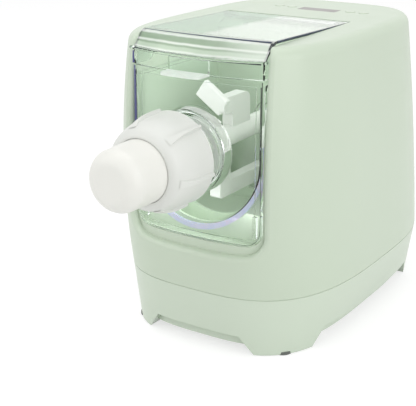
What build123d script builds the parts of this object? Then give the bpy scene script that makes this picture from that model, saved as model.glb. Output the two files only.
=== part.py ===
"""Electric pasta maker: a countertop machine that mixes dough in a clear cup and presses it through a die.

Millimetres, +Z up. The die faces -Y, and +X is the machine's side that is on the right when it is seen
from the front with -Y towards the viewer. The pieces are drawn about the body's centre line, with Y = 0
midway between the front and the back of the base, and are moved on export so that the origin is at the
centre of the whole machine's box, on the surface it stands on.
"""

import os
from math import atan, atan2, cos, pi, radians, sin, sqrt, tan

from build123d import *

# ---------------------------------------------------------------- clearances
GAP = 0.3  # between pieces that move past each other
RUNNING = 0.05  # radial play of a turning fit
TINY = 0.01  # play of a seated piece
SOFT = 0.6  # rounding of a small piece's edges
PAST = 1.0  # how far a cutter runs past a face

# ---------------------------------------------------------------- outer body
# Half width, front, rear and squareness of the body's outline at four heights
FOOT_Z = 0.8
FOOT_OUTLINE = (94.3, -144.9, 144.9, 3.5)
SEAM_Z = 53.7
SEAM_OUTLINE = (104.1, -152.4, 152.4, 3.1)
WAIST_Z = 151.0
WAIST_OUTLINE = (101.2, -160.3, 131.7, 3.4)
TOP_Z = 260.0
TOP_OUTLINE = (92.4, -152.6, 112.6, 3.6)
TOP_ROUND = 10.0
WALL = 2.6
INNER_ROUND = 2.0
OUTLINE_POINTS = 32
SEAM_GROOVE = 0.6
AHEAD_Y = -200.0  # clear of the body's front

# ---------------------------------------------------------------- base
ARCH_TOP_Z = 17.0
PLINTH_Z = 7.5
PLINTH_INSET = 5.5
FLOOR_Z = 10.1
FRONT_ARCH_HALF = 54.0
SIDE_ARCH_FRONT = -100.0
SIDE_ARCH_REAR = 96.0
ARCH_SLOPE = 13.0
PAD_R = 9.0
PAD_RECESS = 2.2
PAD_GAP = 0.1
PAD_X = 68.0
PAD_Y = 118.0
BASE_SCREW_X = 80.0
BASE_SCREW_Y = 70.0
BOSS_R = 5.0
BOSS_HEIGHT = 22.0
SCREW_R = 2.0
SCREW_HEAD_R = 3.6
SCREW_HEAD = 2.2
SCREW_SHORT = 6.0  # how far a screw ends below the top of its boss
SCREW_HOLE_SHORT = 4.0
RIB_REACH = 98.5
RIB_HALF = 1.2
SLOT_HALF = 2.0
SLOT_YS = (-30.0, 60.0)
SLOT_XS = range(-30, 31, 10)

# ---------------------------------------------------------------- window opening and recess
AXIS_Z = 174.0  # height of the shaft, the neck and the die
OPENING_HALF = 61.7
OPENING_BOTTOM = 99.3
OPENING_ROUND = 13.6
RECESS_HALF = 64.0
RECESS_BOTTOM = 92.0
RECESS_ROUND = 17.0
RECESS_DEPTH = 6.0
RECESS_DRAFT = 15.0
RECESS_EDGE_Y = -147.0
RECESS_REAR = -137.0
RECESS_SOFT = 4.0

# ---------------------------------------------------------------- bay
LINER_WALL = 2.4
BAY_REAR = -16.5
BAY_FLOOR = 98.5
BAY_AHEAD = -170.0
SHAFT_HOLE_R = 8.5
SEAL_LIP = 2.0
SEAL_LIP_R = 11.0
LEDGE_FOOT_Z = 246.5
LEDGE_TOP_Y = -6.0
LEDGE_TOP_Z = 251.2
MOUTH_REAR = 3.0
SADDLE_YS = (-112.0, -42.0)
SADDLE_THICK = 3.0
SADDLE_TOP = 128.0
APRON_Y = -136.0

# ---------------------------------------------------------------- lid
LID_HALF = 61.1
LID_WALL = 2.4
LID_REAR = 1.1
LID_BOTTOM = 250.0
HINGE_Y = -2.6
HINGE_Z = 255.8
HINGE_R = 3.3
HINGE_PIN_R = 1.5
KNUCKLE_LENGTH = 9.0
KNUCKLE_ROOT = 8.0
PIN_SEAT = 9.0
REAR_EDGE_ROUND = 1.1
LID_SKIRT_BOTTOM = 235.8
# Corners of the lid's profile: Y at its sides, Z, and how far its middle bows forward
LID_ROLL = [
    (-126.0, TOP_Z + 3.0, 2.5),
    (-131.5, TOP_Z + 1.9, 3.8),
    (-136.5, TOP_Z - 2.4, 5.5),
    (-140.0, TOP_Z - 6.4, 7.2),
    (-142.6, TOP_Z - 9.2, 8.6),
    (-143.4, TOP_Z - 12.0, 9.3),
]
LID_ROLL_INSIDE = [
    (-125.5, TOP_Z + 0.6, 2.5),
    (-130.2, TOP_Z - 0.4, 3.8),
    (-134.6, TOP_Z - 4.0, 5.5),
    (-137.9, TOP_Z - 7.8, 7.2),
    (-140.4, TOP_Z - 10.6, 8.6),
    (-141.0, TOP_Z - 13.2, 9.3),
    (-141.0, LID_SKIRT_BOTTOM - PAST, 9.3),
]
LID_REST = [
    (-143.4, LID_SKIRT_BOTTOM, 9.3),
    (-122.0, LID_SKIRT_BOTTOM, 4.0),
    (-112.0, LID_BOTTOM, 0),
    (HINGE_Y - 12.0, LID_BOTTOM, 0),
    (HINGE_Y, HINGE_Z, 0),
]
LIP_HALF = 62.9
LIP_FRONT = -157.0
LIP_BOW_R = 211.0
LIP_Z = 248.2
LIP_THICK = 2.2
LIP_DEPTH = 5.0
TAB_HALF = 18.5
TAB_BOTTOM = 236.0
TAB_THICK = 2.6
TAB_PROUD = 0.4
SHELF_FRONT = -171.0
SHELF_THICK = 2.2
SHELF_CORNER = 5.0
LIP_ROUND = 0.9
PEG_X = -36.0
PEG_Y = -9.5
PEG_R = 1.8
PEG_TIP_Z = 248.8
PEG_SLOT_R = 2.4
SWITCH_HALF = 10.0
SWITCH_Y = -3.0
SWITCH_ZS = (229.0, 241.0)
SWITCH_WELL_Z = 236.0
BUTTON_R = 1.6
BUTTON_FOOT_Z = 238.0

# ---------------------------------------------------------------- clear front panel and its neck
PANEL_HALF = 59.9
PANEL_BOTTOM = 99.9
PANEL_TOP = 235.2
PANEL_ROUND = 13.0
PANEL_THICK = 3.0
PANEL_FRONT = -150.2
PANEL_BOW_R = 257.0
PANEL_RIM = 5.0
PANEL_RIM_PROUD = 1.1
NECK_R = 29.7
NECK_CHAMFER = 0.8
NECK_ROOT_R = 35.6
NECK_ROOT_Y = -149.2
NECK_ROOT_REAR = -146.4
COLLAR_REAR = -155.5
LUG_HALF = 9.0
CATCH_X = 53.0
CATCH_HALF = 1.5
CATCH_YS = (-146.0, -138.6)
CATCH_ZS = (106.0, 124.0)
BARREL_R = 25.5
NECK_FRONT = -202.0
COLLAR_R = 31.9
COLLAR_FRONT = -169.0
FLANGE_R = 34.6
FLANGE_YS = (-161.5, -158.5)
LUG_R = 31.3
LUG_YS = (-194.0, -190.0)
LUG_COUNT = 3
LUG_ANGLE = 40.0

# ---------------------------------------------------------------- mixing cup
TROUGH_Z = 166.5
TROUGH_R = 55.5
CUP_WALL = 2.5
CUP_TOP = 229.0
CUP_REAR = -20.5
CUP_FLANGE_R = 60.3
CUP_FLANGE_REAR = -137.0
CUP_RIM = 1.4
CUP_RIM_HEIGHT = 3.0
SEAL_THICK = 1.8
SEAL_INNER_R = 58.3
SEAL_RISE = 2.8  # how far the strip's inner circle is raised, which thins its ends
SEAL_END_Z = 182.0
SEAL_REAR = -130.0
HUB_HOLE_R = 12.5
HUB_BOSS = 3.0

# ---------------------------------------------------------------- nut, die cap and their seal
NUT_REAR = -177.6
NUT_FRONT = -221.0
NUT_REAR_R = 37.5
# Shoulder of the nut from its face to its widest part, as radius and distance behind the face
NUT_SHOULDER = ((28.0, 0.6), (31.4, 3.4), (33.8, 8.6), (35.8, 17.5))
NUT_RIDGES = 6
NUT_RIDGE_ANGLE = 49.0
NUT_RIDGE_HALF = 3.4
NUT_RIDGE_ROOT = 33.0
NUT_RIDGE_TIP = 42.0
NUT_RIDGE_PROUD = 1.9
NUT_WALL = 2.4
NUT_FACE = 4.0
NUT_RIM = 3.0
CAP_R = 25.1
CAP_FRONT_R = 24.1
CAP_FRONT = -258.3
CAP_ROUND = 11.2
CAP_WALL = 2.8
CAP_FLANGE_R = 27.0
CAP_FLANGE_REAR = -204.0
CAP_FLANGE_GAP = 0.1
DIE_HOLE_R = 1.3
DIE_PITCH = 4.0
DIE_COLUMNS = 7
DIE_ROWS = 4
DIE_MIDDLE_IN = 1.0
DIE_FLOOR = 10.0  # how far above the die's underside the holes are drilled from
DIE_SEAL_WALL = 1.2
DIE_SEAL_GAP = 0.5

# ---------------------------------------------------------------- auger and paddle
AUGER_R = 25.1
AUGER_CORE_R = 8.0
AUGER_FRONT = -200.5
AUGER_REAR = -130.0
AUGER_PITCH = 26.0
AUGER_FLIGHT_ANGLE = 50.0
HUB_R = 9.0
HUB_FRONT = -129.5
HUB_REAR = -19.0
HEX_PLUG = 9.0
HEX_PLUG_LENGTH = 16.0
HEX_DRIVE = 12.0
HEX_FRONT = -50.0
PADDLE_THICK = 10.0
PADDLE_ROUND = 3.0
BLADE_ROUND = 1.6
SOCKET_GAP = 0.2
POST_YS = (-97.0, -69.0)
POST_CORNER = 8.0
BAR_FRONT = -110.0
BAR_INNER = 20.5
BAR_OUTER = 34.0
BLADE_LENGTH = 23.5
BLADE_TAIL = 4.0
BLADE_WIDTH = 16.4
BLADE_THICK = 6.0
BLADE_TILT = 145.0
SWEEP_POST_YS = (-116.0, -100.0)
SWEEP_BAR_REAR = -34.0
SWEEP_INNER = 38.0
SWEEP_OUTER = 51.0

# ---------------------------------------------------------------- drive train
SHAFT_R = 7.0
SHAFT_REAR = 53.0
SEAT_DEPTH = 1.5  # how far the shaft reaches into the bay behind its hexagonal nose
FRONT_PLATE_Y = 8.0
REAR_PLATE_Y = 46.0
PLATE_THICK = 3.0
PLATE_HEAD_R = 52.0
PLATE_IDLER_R = 40.0
PLATE_WAIST = 8.0
PLATE_HEAD_DROP = 20.0
STANDOFF_R = 4.0
STANDOFFS = ((-40.0, 32.0), (40.0, 32.0), (-36.0, -103.0), (36.0, -61.0))  # X, and Z from the shaft
BEARING_R = 13.0
BEARING_LENGTH = 7.0
BEARING_SEAT = 3.0
BEARING_PROUD = 4.0
BEARING_RING = 1.5
BEARING_DISH = 0.6
BUSH_PROUD = 1.5
PINION_HOLE_R = 20.0
MOTOR_BOSS_R = 12.0
BUSH_R = 7.0
IDLER_SHAFT_R = 4.0
MOTOR_SHAFT_R = 3.0
PINION_TEETH = 18
WHEEL_TEETH = 72
SLOW_MODULE = 1.25
FAST_MODULE = 1.0
PRESSURE_ANGLE = 20.0
BACKLASH = 0.16
GEAR_ROOT = 1.25  # depth of a tooth's root in modules
WHEEL_YS = (15.0, 27.0)
SLOW_PINION_YS = (14.0, 28.5)
FAST_WHEEL_YS = (31.0, 39.0)
FAST_PINION_YS = (30.0, 40.0)
FOOT_SCREW_XS = (-35.0, 25.0)
FOOT_SCREW_IN = 8.0
PLATE_FOOT_XS = (-44.0, 30.0)
WHEEL_WEB = 4.0
WHEEL_RIM = 5.0
WHEEL_HUB = 6.0
SPACER = 3.0
SHAFT_COLLAR = 2.0
SHAFT_END = 2.0
IDLER_X = -33.75
MOTOR_X = 0.0
MOTOR_R = 34.0
MOTOR_FRONT = 49.0
MOTOR_CAP = 6.0
MOTOR_LENGTH = 68.0
MOTOR_WALL = 2.0
BRUSH_X = 24.0
BRUSH_HALF = 5.0
BRUSH_LENGTH = 18.0
MAGNET_GAP = 1.5
MAGNET_SPLIT = 8.0
ROTOR_START = MOTOR_FRONT + 10.0
ROTOR_R = 17.0
ROTOR_LENGTH = 38.0
ROTOR_SLOTS = 8
ROTOR_SLOT_HALF = 1.5
ROTOR_SLOT_DEPTH = 5.0
COMMUTATOR_R = 9.0
COMMUTATOR_LENGTH = 14.0
FAN_R = 29.0
FAN_WIDTH = 7.0
FAN_BLADES = 9
FAN_GAP = 1.5
FAN_DISC = 1.5
FAN_HUB_R = 8.0
FAN_BLADE_HALF = 0.8

# ---------------------------------------------------------------- controls
DISPLAY_X = 7.0
DISPLAY_Y = 49.5
DISPLAY_SIZE = (38.0, 14.0)
DISPLAY_THICK = 1.6
DISPLAY_LEDGE = 2.0
DISPLAY_GAP = 0.2
SEAT_GAP = 0.1
KEY_R = 4.5
KEY_TRAVEL = 0.8
KEY_PROUD = 0.5
KEY_FLANGE = 1.2
KEY_FLANGE_THICK = 1.9
KEY_OFFSETS = (-43.0, -30.0, 30.0, 43.0)
KEY_Y = 53.0
BOARD_Z = 250.0
BOARD_THICK = 1.6
BOARD_HALF = 55.0
BOARD_YS = (33.0, 73.0)
BOARD_POST_IN = 5.0
BOARD_POST_R = 3.2
BOARD_SCREW_R = 1.2
BOARD_SCREW_HEAD_R = 2.4
BOARD_SCREW_HEAD = 1.6
SWITCH_SIDE = 3.0
POWER_BOARD_X = 66.0
POWER_BOARD_YS = (-34.0, 56.0)
POWER_BOARD_TOP = 96.0
# Blocks on the power board: how far each stands out, its Y span and its Z span
BOARD_BLOCKS = ((14.0, (-24.0, 2.0), (28.0, 54.0)), (12.0, (14.0, 32.0), (68.0, 84.0)))
# Round parts on the power board: radius, how far each stands out, Y and Z
BOARD_ROUNDS = ((8.0, 20.0, 22.0, 50.0), (5.0, 16.0, 44.0, 34.0))
CLIP_HALF = 2.6
CLIP_LENGTH = 8.0
CLIP_TOP = 24.0
CLIP_FLOOR = 2.0

# ---------------------------------------------------------------- vents and power inlet
VENT_HALF = 1.8
VENT_LENGTH = 30.0
VENT_XS = range(-27, 28, 9)
VENT_ZS = (82.0, 118.0)
VENT_ROUND = 1.7
WALL_CUT_YS = (90.0, 170.0)
INLET_X = -56.0
INLET_Z = 82.0
INLET_SIZE = (28.0, 21.0)
INLET_FLANGE = (36.0, 27.0)
INLET_FACE = 143.0
INLET_PLATE = 3.0
INLET_ROUND = 3.0
INLET_GAP = 0.2
INLET_DEPTH = 24.0
INLET_WALL = 2.0
SOCKET_DEPTH = 20.0
PINS = ((-7.0, -1.5), (0.0, 2.5), (7.0, -1.5))
PIN_HALVES = (1.0, 2.0)
PIN_LENGTH = 15.0

slow_centres = SLOW_MODULE * (PINION_TEETH + WHEEL_TEETH) / 2
fast_centres = FAST_MODULE * (PINION_TEETH + WHEEL_TEETH) / 2
idler_z = AXIS_Z - sqrt(slow_centres**2 - IDLER_X**2)
motor_z = idler_z - sqrt(fast_centres**2 - (MOTOR_X - IDLER_X) ** 2)
motor_rear = MOTOR_FRONT + MOTOR_LENGTH
fan_front = motor_rear + MOTOR_CAP + FAN_GAP
cup_outer_r = TROUGH_R + CUP_WALL
panel_bow_y = PANEL_FRONT + PANEL_BOW_R
to_origin = Pos(0, -(CAP_FRONT + SEAM_OUTLINE[2]) / 2, 0)
LOW = (Align.CENTER, Align.CENTER, Align.MIN)


# ---------------------------------------------------------------- shape helpers
def box(x, y, z):
    """Box between two limits on each axis."""
    size = Box(x[1] - x[0], y[1] - y[0], z[1] - z[0])
    return Pos((x[0] + x[1]) / 2, (y[0] + y[1]) / 2, (z[0] + z[1]) / 2) * size


def rod_x(r, x, y, z):
    """Rod along X between two limits."""
    return Pos(x[0], y, z) * Rot(0, 90, 0) * Cylinder(r, x[1] - x[0], align=LOW)


def rod_y(r, y, x=0.0, z=AXIS_Z):
    """Rod along Y between two limits, on the machine's shaft axis unless placed elsewhere."""
    return Pos(x, y[0], z) * Rot(-90, 0, 0) * Cylinder(r, y[1] - y[0], align=LOW)


def rod_z(r, x, y, z):
    """Upright rod between two limits."""
    return Pos(x, y, z[0]) * Cylinder(r, z[1] - z[0], align=LOW)


def ring_y(outer, inner, y, x=0.0, z=AXIS_Z):
    """Ring whose hole runs along Y."""
    return rod_y(outer, y, x, z) - rod_y(inner, (y[0] - TINY, y[1] + TINY), x, z)


def hex_y(across_flats, y, x=0.0, z=AXIS_Z):
    """Hexagonal bar along Y."""
    face = RegularPolygon(across_flats / 2, 6, major_radius=False)
    return Pos(x, y[0], z) * Rot(-90, 0, 0) * extrude(face, y[1] - y[0])


def turned(points):
    """Solid of revolution about the shaft axis from corners given as radius and Y."""
    face = make_face(Polyline(*[(r, y) for r, y in points], close=True))
    return Pos(0, 0, AXIS_Z) * revolve(face, Axis.Y)


def side_prism(points, half):
    """Prism along X, centred, from corners given as Y and Z."""
    face = make_face(Polyline(*[(0, y, z) for y, z in points], close=True))
    return extrude(face, half, dir=(1, 0, 0), both=True)


def window_prism(half, bottom, top, corner, y):
    """Prism along Y whose two lower corners are rounded."""
    block = box((-half, half), y, (bottom, top))
    return fillet(block.edges().filter_by(Axis.Y).group_by(Axis.Z)[0], corner)


def bowed(thick, front, bow_r, z):
    """Upright curved sheet whose front face bows towards -Y to the line y = front."""
    centre = front + bow_r
    sheet = rod_z(bow_r, 0, centre, z) - rod_z(bow_r - thick, 0, centre, (z[0] - TINY, z[1] + TINY))
    return sheet & box((-RECESS_HALF, RECESS_HALF), (front - TINY, RECESS_REAR), (z[0] - PAST, z[1] + PAST))


# ---------------------------------------------------------------- outer body
def outline(shape, z, inset=0.0):
    """Face of the body's rounded outline at one height: a superellipse set in by inset."""
    half_width, front, rear, squareness = shape
    a, b = half_width - inset, (rear - front) / 2 - inset
    middle = (front + rear) / 2
    points = []
    for i in range(OUTLINE_POINTS):
        t = 2 * pi * i / OUTLINE_POINTS
        reach = (abs(cos(t) / a) ** squareness + abs(sin(t) / b) ** squareness) ** (-1 / squareness)
        points.append((reach * cos(t), middle + reach * sin(t), z))
    return Face(Wire([Edge.make_spline(points, periodic=True)]))


def foot_outline(z):
    """Outline values of the base between its foot and the seam, at one height."""
    share = (z - FOOT_Z) / (SEAM_Z - FOOT_Z)
    return tuple(low + (high - low) * share for low, high in zip(FOOT_OUTLINE, SEAM_OUTLINE))


def upper_form(inset, bottom=SEAM_Z):
    """The upper body as a solid, set in by inset, with its top edge rounded."""
    faces = [
        outline(SEAM_OUTLINE, bottom, inset),
        outline(WAIST_OUTLINE, WAIST_Z, inset),
        outline(TOP_OUTLINE, TOP_Z - inset, inset),
    ]
    form = loft(faces)
    return fillet(form.faces().sort_by(Axis.Z)[-1].edges(), max(TOP_ROUND - inset, INNER_ROUND))


def recess_face(y, grow):
    """Outline of the sunk front at one depth, open at the top; its sides lean out towards the front."""
    wider = grow + (RECESS_EDGE_Y - y) * tan(radians(RECESS_DRAFT))
    low = RECESS_BOTTOM - wider
    high = TOP_Z + 2 * RECESS_ROUND + wider
    width = 2 * (RECESS_HALF + wider)
    face = RectangleRounded(width, high - low, RECESS_ROUND + wider)
    return Pos(0, y, (low + high) / 2) * Rot(90, 0, 0) * face


def recess_cut(grow=0.0):
    """Shallow layer that is sunk into the body's front all round the bay's mouth."""
    region = loft([recess_face(AHEAD_Y, grow), recess_face(RECESS_REAR, grow)])
    return region - upper_form(RECESS_DEPTH + grow, SEAM_Z - PAST)


def recessed_form():
    """The upper body with its sunk front, whose outer edge is well rounded."""
    whole, layer = upper_form(0), recess_cut()
    form = whole - layer
    return fillet(new_edges(whole, layer, combined=form), RECESS_SOFT)


def cavity_form():
    """Inside of the upper body: the outer form set in by its wall, also behind the recess."""
    return upper_form(WALL, SEAM_Z - PAST) - recess_cut(WALL)


def opening_cut():
    """The bay's mouth, open at the front and at the top."""
    return window_prism(OPENING_HALF, OPENING_BOTTOM, TOP_Z + PAST, OPENING_ROUND, (AHEAD_Y, MOUTH_REAR))


def vent_slots():
    """Rows of air slots through the rear wall, behind the motor's fan."""
    slot = box((-VENT_HALF, VENT_HALF), WALL_CUT_YS, (-VENT_LENGTH / 2, VENT_LENGTH / 2))
    slot = fillet(slot.edges().filter_by(Axis.Y), VENT_ROUND)
    return [Pos(x, 0, z) * slot for z in VENT_ZS for x in VENT_XS]


def key_positions():
    """Centres of the four keys, two on each side of the display."""
    return [(DISPLAY_X + offset, KEY_Y) for offset in KEY_OFFSETS]


def display_cuts():
    """Window through the top with the ledge that carries the display's lens."""
    half_x, half_y = DISPLAY_SIZE[0] / 2, DISPLAY_SIZE[1] / 2
    seat = box(
        (DISPLAY_X - half_x - SEAT_GAP, DISPLAY_X + half_x + SEAT_GAP),
        (DISPLAY_Y - half_y - SEAT_GAP, DISPLAY_Y + half_y + SEAT_GAP),
        (TOP_Z - DISPLAY_THICK, TOP_Z + PAST),
    )
    through = box(
        (DISPLAY_X - half_x + DISPLAY_LEDGE, DISPLAY_X + half_x - DISPLAY_LEDGE),
        (DISPLAY_Y - half_y + DISPLAY_LEDGE, DISPLAY_Y + half_y - DISPLAY_LEDGE),
        (TOP_Z - 2 * WALL, TOP_Z + PAST),
    )
    return [seat, through]


def board_posts():
    """Centres of the four posts that carry the control board."""
    reach = BOARD_HALF - BOARD_POST_IN
    ys = (BOARD_YS[0] + BOARD_POST_IN, BOARD_YS[1] - BOARD_POST_IN)
    return [(x, y) for x in (DISPLAY_X - reach, DISPLAY_X + reach) for y in ys]


def inlet_block(size, y, grow=0.0):
    """Upright rounded block at the power inlet."""
    half_x, half_z = size[0] / 2 + grow, size[1] / 2 + grow
    block = box((INLET_X - half_x, INLET_X + half_x), y, (INLET_Z - half_z, INLET_Z + half_z))
    return fillet(block.edges().filter_by(Axis.Y), INLET_ROUND + grow)


def upper_housing():
    """Green shell over the whole machine, with a sunk front around the bay's mouth."""
    posts = [rod_z(BOARD_POST_R, x, y, (BOARD_Z + BOARD_THICK, TOP_Z - WALL / 2)) for x, y in board_posts()]
    span = (SEAM_Z, SEAM_Z + BOSS_HEIGHT)
    for x, y in base_screw_positions():
        rib = box(sorted((x, x * RIB_REACH / BASE_SCREW_X)), (y - RIB_HALF, y + RIB_HALF), span)
        posts.append(rod_z(BOSS_R, x, y, span) + rib)
    shell = (recessed_form() - [cavity_form(), opening_cut()]) + posts
    hole = (SEAM_Z - PAST, SEAM_Z + BOSS_HEIGHT - SCREW_HOLE_SHORT)
    cuts = display_cuts() + vent_slots()
    cuts += [rod_z(KEY_R + GAP, x, y, (TOP_Z - 2 * WALL, TOP_Z + PAST)) for x, y in key_positions()]
    cuts += [rod_z(BOARD_SCREW_R, x, y, (BOARD_Z, TOP_Z - WALL)) for x, y in board_posts()]
    cuts += [rod_z(SCREW_R, x, y, hole) for x, y in base_screw_positions()]
    cuts.append(inlet_block(INLET_SIZE, WALL_CUT_YS, INLET_GAP))
    cuts.append(inlet_block(INLET_FLANGE, (INLET_FACE - INLET_PLATE, WALL_CUT_YS[1]), INLET_GAP))
    return largest(shell - cuts)


def largest(shape):
    """The largest solid of a shape that a cut may have left in several pieces."""
    return sorted(shape.solids(), key=lambda solid: solid.volume)[-1]


# ---------------------------------------------------------------- base
def arch_prism(half, length):
    """Trapezoid prism along Y that opens the space between two corner feet."""
    slope = ARCH_SLOPE
    corners = [(-half, -PAST), (half, -PAST), (half - slope, ARCH_TOP_Z), (slope - half, ARCH_TOP_Z)]
    face = make_face(Polyline(*[(x, 0, z) for x, z in corners], close=True))
    return extrude(face, length, dir=(0, 1, 0), both=True)


def pad_positions():
    """Centres of the four rubber pads."""
    return [(x, y) for x in (-PAD_X, PAD_X) for y in (-PAD_Y, PAD_Y)]


def base_screw_positions():
    """Centres of the screws that hold the base to the upper housing."""
    return [(x, y) for x in (-BASE_SCREW_X, BASE_SCREW_X) for y in (-BASE_SCREW_Y, BASE_SCREW_Y)]


def base_tray():
    """Green tub that closes the machine from below and stands on four corner feet."""
    form = loft([outline(FOOT_OUTLINE, FOOT_Z), outline(SEAM_OUTLINE, SEAM_Z)])
    side_middle = (SIDE_ARCH_FRONT + SIDE_ARCH_REAR) / 2
    side_half = (SIDE_ARCH_REAR - SIDE_ARCH_FRONT) / 2
    length = -AHEAD_Y
    arches = arch_prism(FRONT_ARCH_HALF, length)
    arches += Pos(0, side_middle, 0) * Rot(0, 0, 90) * arch_prism(side_half, length)
    core = extrude(outline(foot_outline(PLINTH_Z), PLINTH_Z, PLINTH_INSET), ARCH_TOP_Z)
    plinth_top = ARCH_TOP_Z + WALL
    low = outline(foot_outline(plinth_top), plinth_top, WALL)
    cavity = loft([low, outline(SEAM_OUTLINE, SEAM_Z + TINY, WALL)])
    well = outline(foot_outline(FLOOR_Z), FLOOR_Z, PLINTH_INSET + WALL)
    cavity += extrude(well, plinth_top - FLOOR_Z + TINY)
    groove = outline(SEAM_OUTLINE, 0, -PAST) - outline(SEAM_OUTLINE, 0, SEAM_GROOVE)
    groove = Pos(0, 0, SEAM_Z - SEAM_GROOVE) * extrude(groove, PAST)
    bosses = [rod_z(BOSS_R, x, y, (FLOOR_Z - WALL / 2, SEAM_Z)) for x, y in base_screw_positions()]
    tray = (form - [arches - core, cavity, groove]) + bosses
    floor_cut = (0, FLOOR_Z + PAST)
    cuts = [rod_z(PAD_R + PAD_GAP, x, y, (0, PAD_RECESS + FOOT_Z)) for x, y in pad_positions()]
    cuts += [rod_z(SCREW_HEAD_R + GAP, x, y, (0, PLINTH_Z + SCREW_HEAD)) for x, y in base_screw_positions()]
    cuts += [rod_z(SCREW_R, x, y, (0, SEAM_Z + PAST)) for x, y in base_screw_positions()]
    cuts += [rod_z(SCREW_R, x, y, floor_cut) for x, y in foot_screw_positions()]
    cuts += [box((x - SLOT_HALF, x + SLOT_HALF), SLOT_YS, floor_cut) for x in SLOT_XS]
    return largest(tray - cuts)


def rubber_pads():
    """Round rubber feet, seated in the corners of the base."""
    pads = []
    for x, y in pad_positions():
        pad = rod_z(PAD_R, x, y, (0, PAD_RECESS + FOOT_Z))
        pads.append(fillet(pad.edges().group_by(Axis.Z)[0], SOFT))
    return pads


def base_screws():
    """Screws that hold the base to the upper housing, driven from below."""
    screws = []
    shank = (PLINTH_Z + SCREW_HEAD, SEAM_Z + BOSS_HEIGHT - SCREW_SHORT)
    for x, y in base_screw_positions():
        head = rod_z(SCREW_HEAD_R, x, y, (PLINTH_Z, PLINTH_Z + SCREW_HEAD))
        screws.append(head + rod_z(SCREW_R - TINY, x, y, shank))
    return screws


# ---------------------------------------------------------------- bay
def trough_profile(r, top, y):
    """U-shaped prism along Y: round below, straight above."""
    return rod_y(r, y, 0, TROUGH_Z) + box((-r, r), y, (TROUGH_Z, top))


def bay_liner():
    """Tub that holds the cup, with the sloped ledge behind the lid and the lid's hinge seats."""
    half = OPENING_HALF
    front = BAY_AHEAD
    outer_round = OPENING_ROUND + LINER_WALL
    outer_span = (front, BAY_REAR + LINER_WALL)
    outer = window_prism(half + LINER_WALL, BAY_FLOOR - LINER_WALL, TOP_Z, outer_round, outer_span)
    ledge = [
        (BAY_REAR, LEDGE_FOOT_Z),
        (LEDGE_TOP_Y, LEDGE_TOP_Z),
        (MOUTH_REAR, LEDGE_TOP_Z),
        (MOUTH_REAR, TOP_Z + PAST),
        (BAY_REAR - PAST, TOP_Z + PAST),
        (BAY_REAR - PAST, LEDGE_FOOT_Z),
    ]
    shelf = [
        (BAY_REAR, LEDGE_FOOT_Z - LINER_WALL),
        (LEDGE_TOP_Y, LEDGE_TOP_Z - LINER_WALL),
        (MOUTH_REAR + LINER_WALL, LEDGE_TOP_Z - LINER_WALL),
        (MOUTH_REAR + LINER_WALL, TOP_Z),
        (BAY_REAR, TOP_Z),
    ]
    void = window_prism(half, BAY_FLOOR, TOP_Z + PAST, OPENING_ROUND, (front - PAST, BAY_REAR))
    liner = (outer + side_prism(shelf, half + LINER_WALL)) - [void, side_prism(ledge, half)]
    keep_out = trough_profile(cup_outer_r + GAP, TOP_Z, (front, BAY_REAR))
    low = BAY_FLOOR - LINER_WALL / 2
    ribs = [box((-half, half), (y, y + SADDLE_THICK), (low, SADDLE_TOP)) for y in SADDLE_YS]
    apron = window_prism(half, low, TROUGH_Z, OPENING_ROUND, (APRON_Y, APRON_Y + LINER_WALL))
    liner += [rib - keep_out for rib in ribs] + [apron - keep_out]
    liner = liner & cavity_form()
    slot_span = (SWITCH_ZS[1] - PAST, TOP_Z)
    peg_slot = rod_z(PEG_SLOT_R, PEG_X, PEG_Y, slot_span)
    peg_slot += box((PEG_X - PEG_SLOT_R, PEG_X + PEG_SLOT_R), (PEG_Y - PEG_R, PEG_Y), slot_span)
    cuts = [
        rod_y(SHAFT_HOLE_R, (BAY_REAR - PAST, BAY_REAR + LINER_WALL + PAST)),
        rod_x(HINGE_PIN_R, (-half - PIN_SEAT, half + PIN_SEAT), HINGE_Y, HINGE_Z),
        peg_slot,
    ]
    return largest(liner - cuts)


def wall_seal():
    """Rubber lip ring that keeps flour out of the drive where the shaft passes the bay's rear wall."""
    wall_back = BAY_REAR + LINER_WALL
    ring = ring_y(SHAFT_HOLE_R, SHAFT_R + RUNNING, (BAY_REAR, wall_back))
    return ring + ring_y(SEAL_LIP_R, SHAFT_R + GAP, (wall_back, wall_back + SEAL_LIP))


def lid_switch():
    """Microswitch under the ledge that lets the motor run only with the lid shut."""
    span = (PEG_X - SWITCH_HALF, PEG_X + SWITCH_HALF)
    body = box(span, (BAY_REAR + LINER_WALL + GAP, SWITCH_Y), SWITCH_ZS)
    return body - rod_z(BUTTON_R + RUNNING, PEG_X, PEG_Y, (SWITCH_WELL_Z, SWITCH_ZS[1] + PAST))


def switch_plunger():
    """The switch's button, held down by the lid's peg."""
    button = rod_z(BUTTON_R, PEG_X, PEG_Y, (BUTTON_FOOT_Z, PEG_TIP_Z - GAP))
    return fillet(button.edges().group_by(Axis.Z)[-1], SOFT)


# ---------------------------------------------------------------- lid
def lid_section(points, x):
    """Closed face of the lid's profile at one station across its width."""
    share = 1 - (x / LID_HALF) ** 2
    placed = [(x, y - bow * share, z) for y, z, bow in points]
    top, front, rest = placed[:2], placed[1:7], placed[6:]
    tangents = [(0, -1, 0.03), (0, -0.05, -1)]
    edges = [
        Edge.make_line(*top),
        Edge.make_spline(front, tangents=tangents),
        Edge.make_line(rest[0], rest[1]),
        Edge.make_line(rest[1], rest[2]),
        Edge.make_line(rest[2], rest[3]),
        Edge.make_line(rest[3], rest[4]),
        Edge.make_line(rest[4], rest[5]),
        Edge.make_line(rest[5], top[0]),
    ]
    return Face(Wire(edges))


def lid_form(points, half):
    """Lofted body of the lid between its two sides."""
    stations = [-half, -half / 2, 0, half / 2, half]
    return loft([lid_section(points, x) for x in stations])


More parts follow.
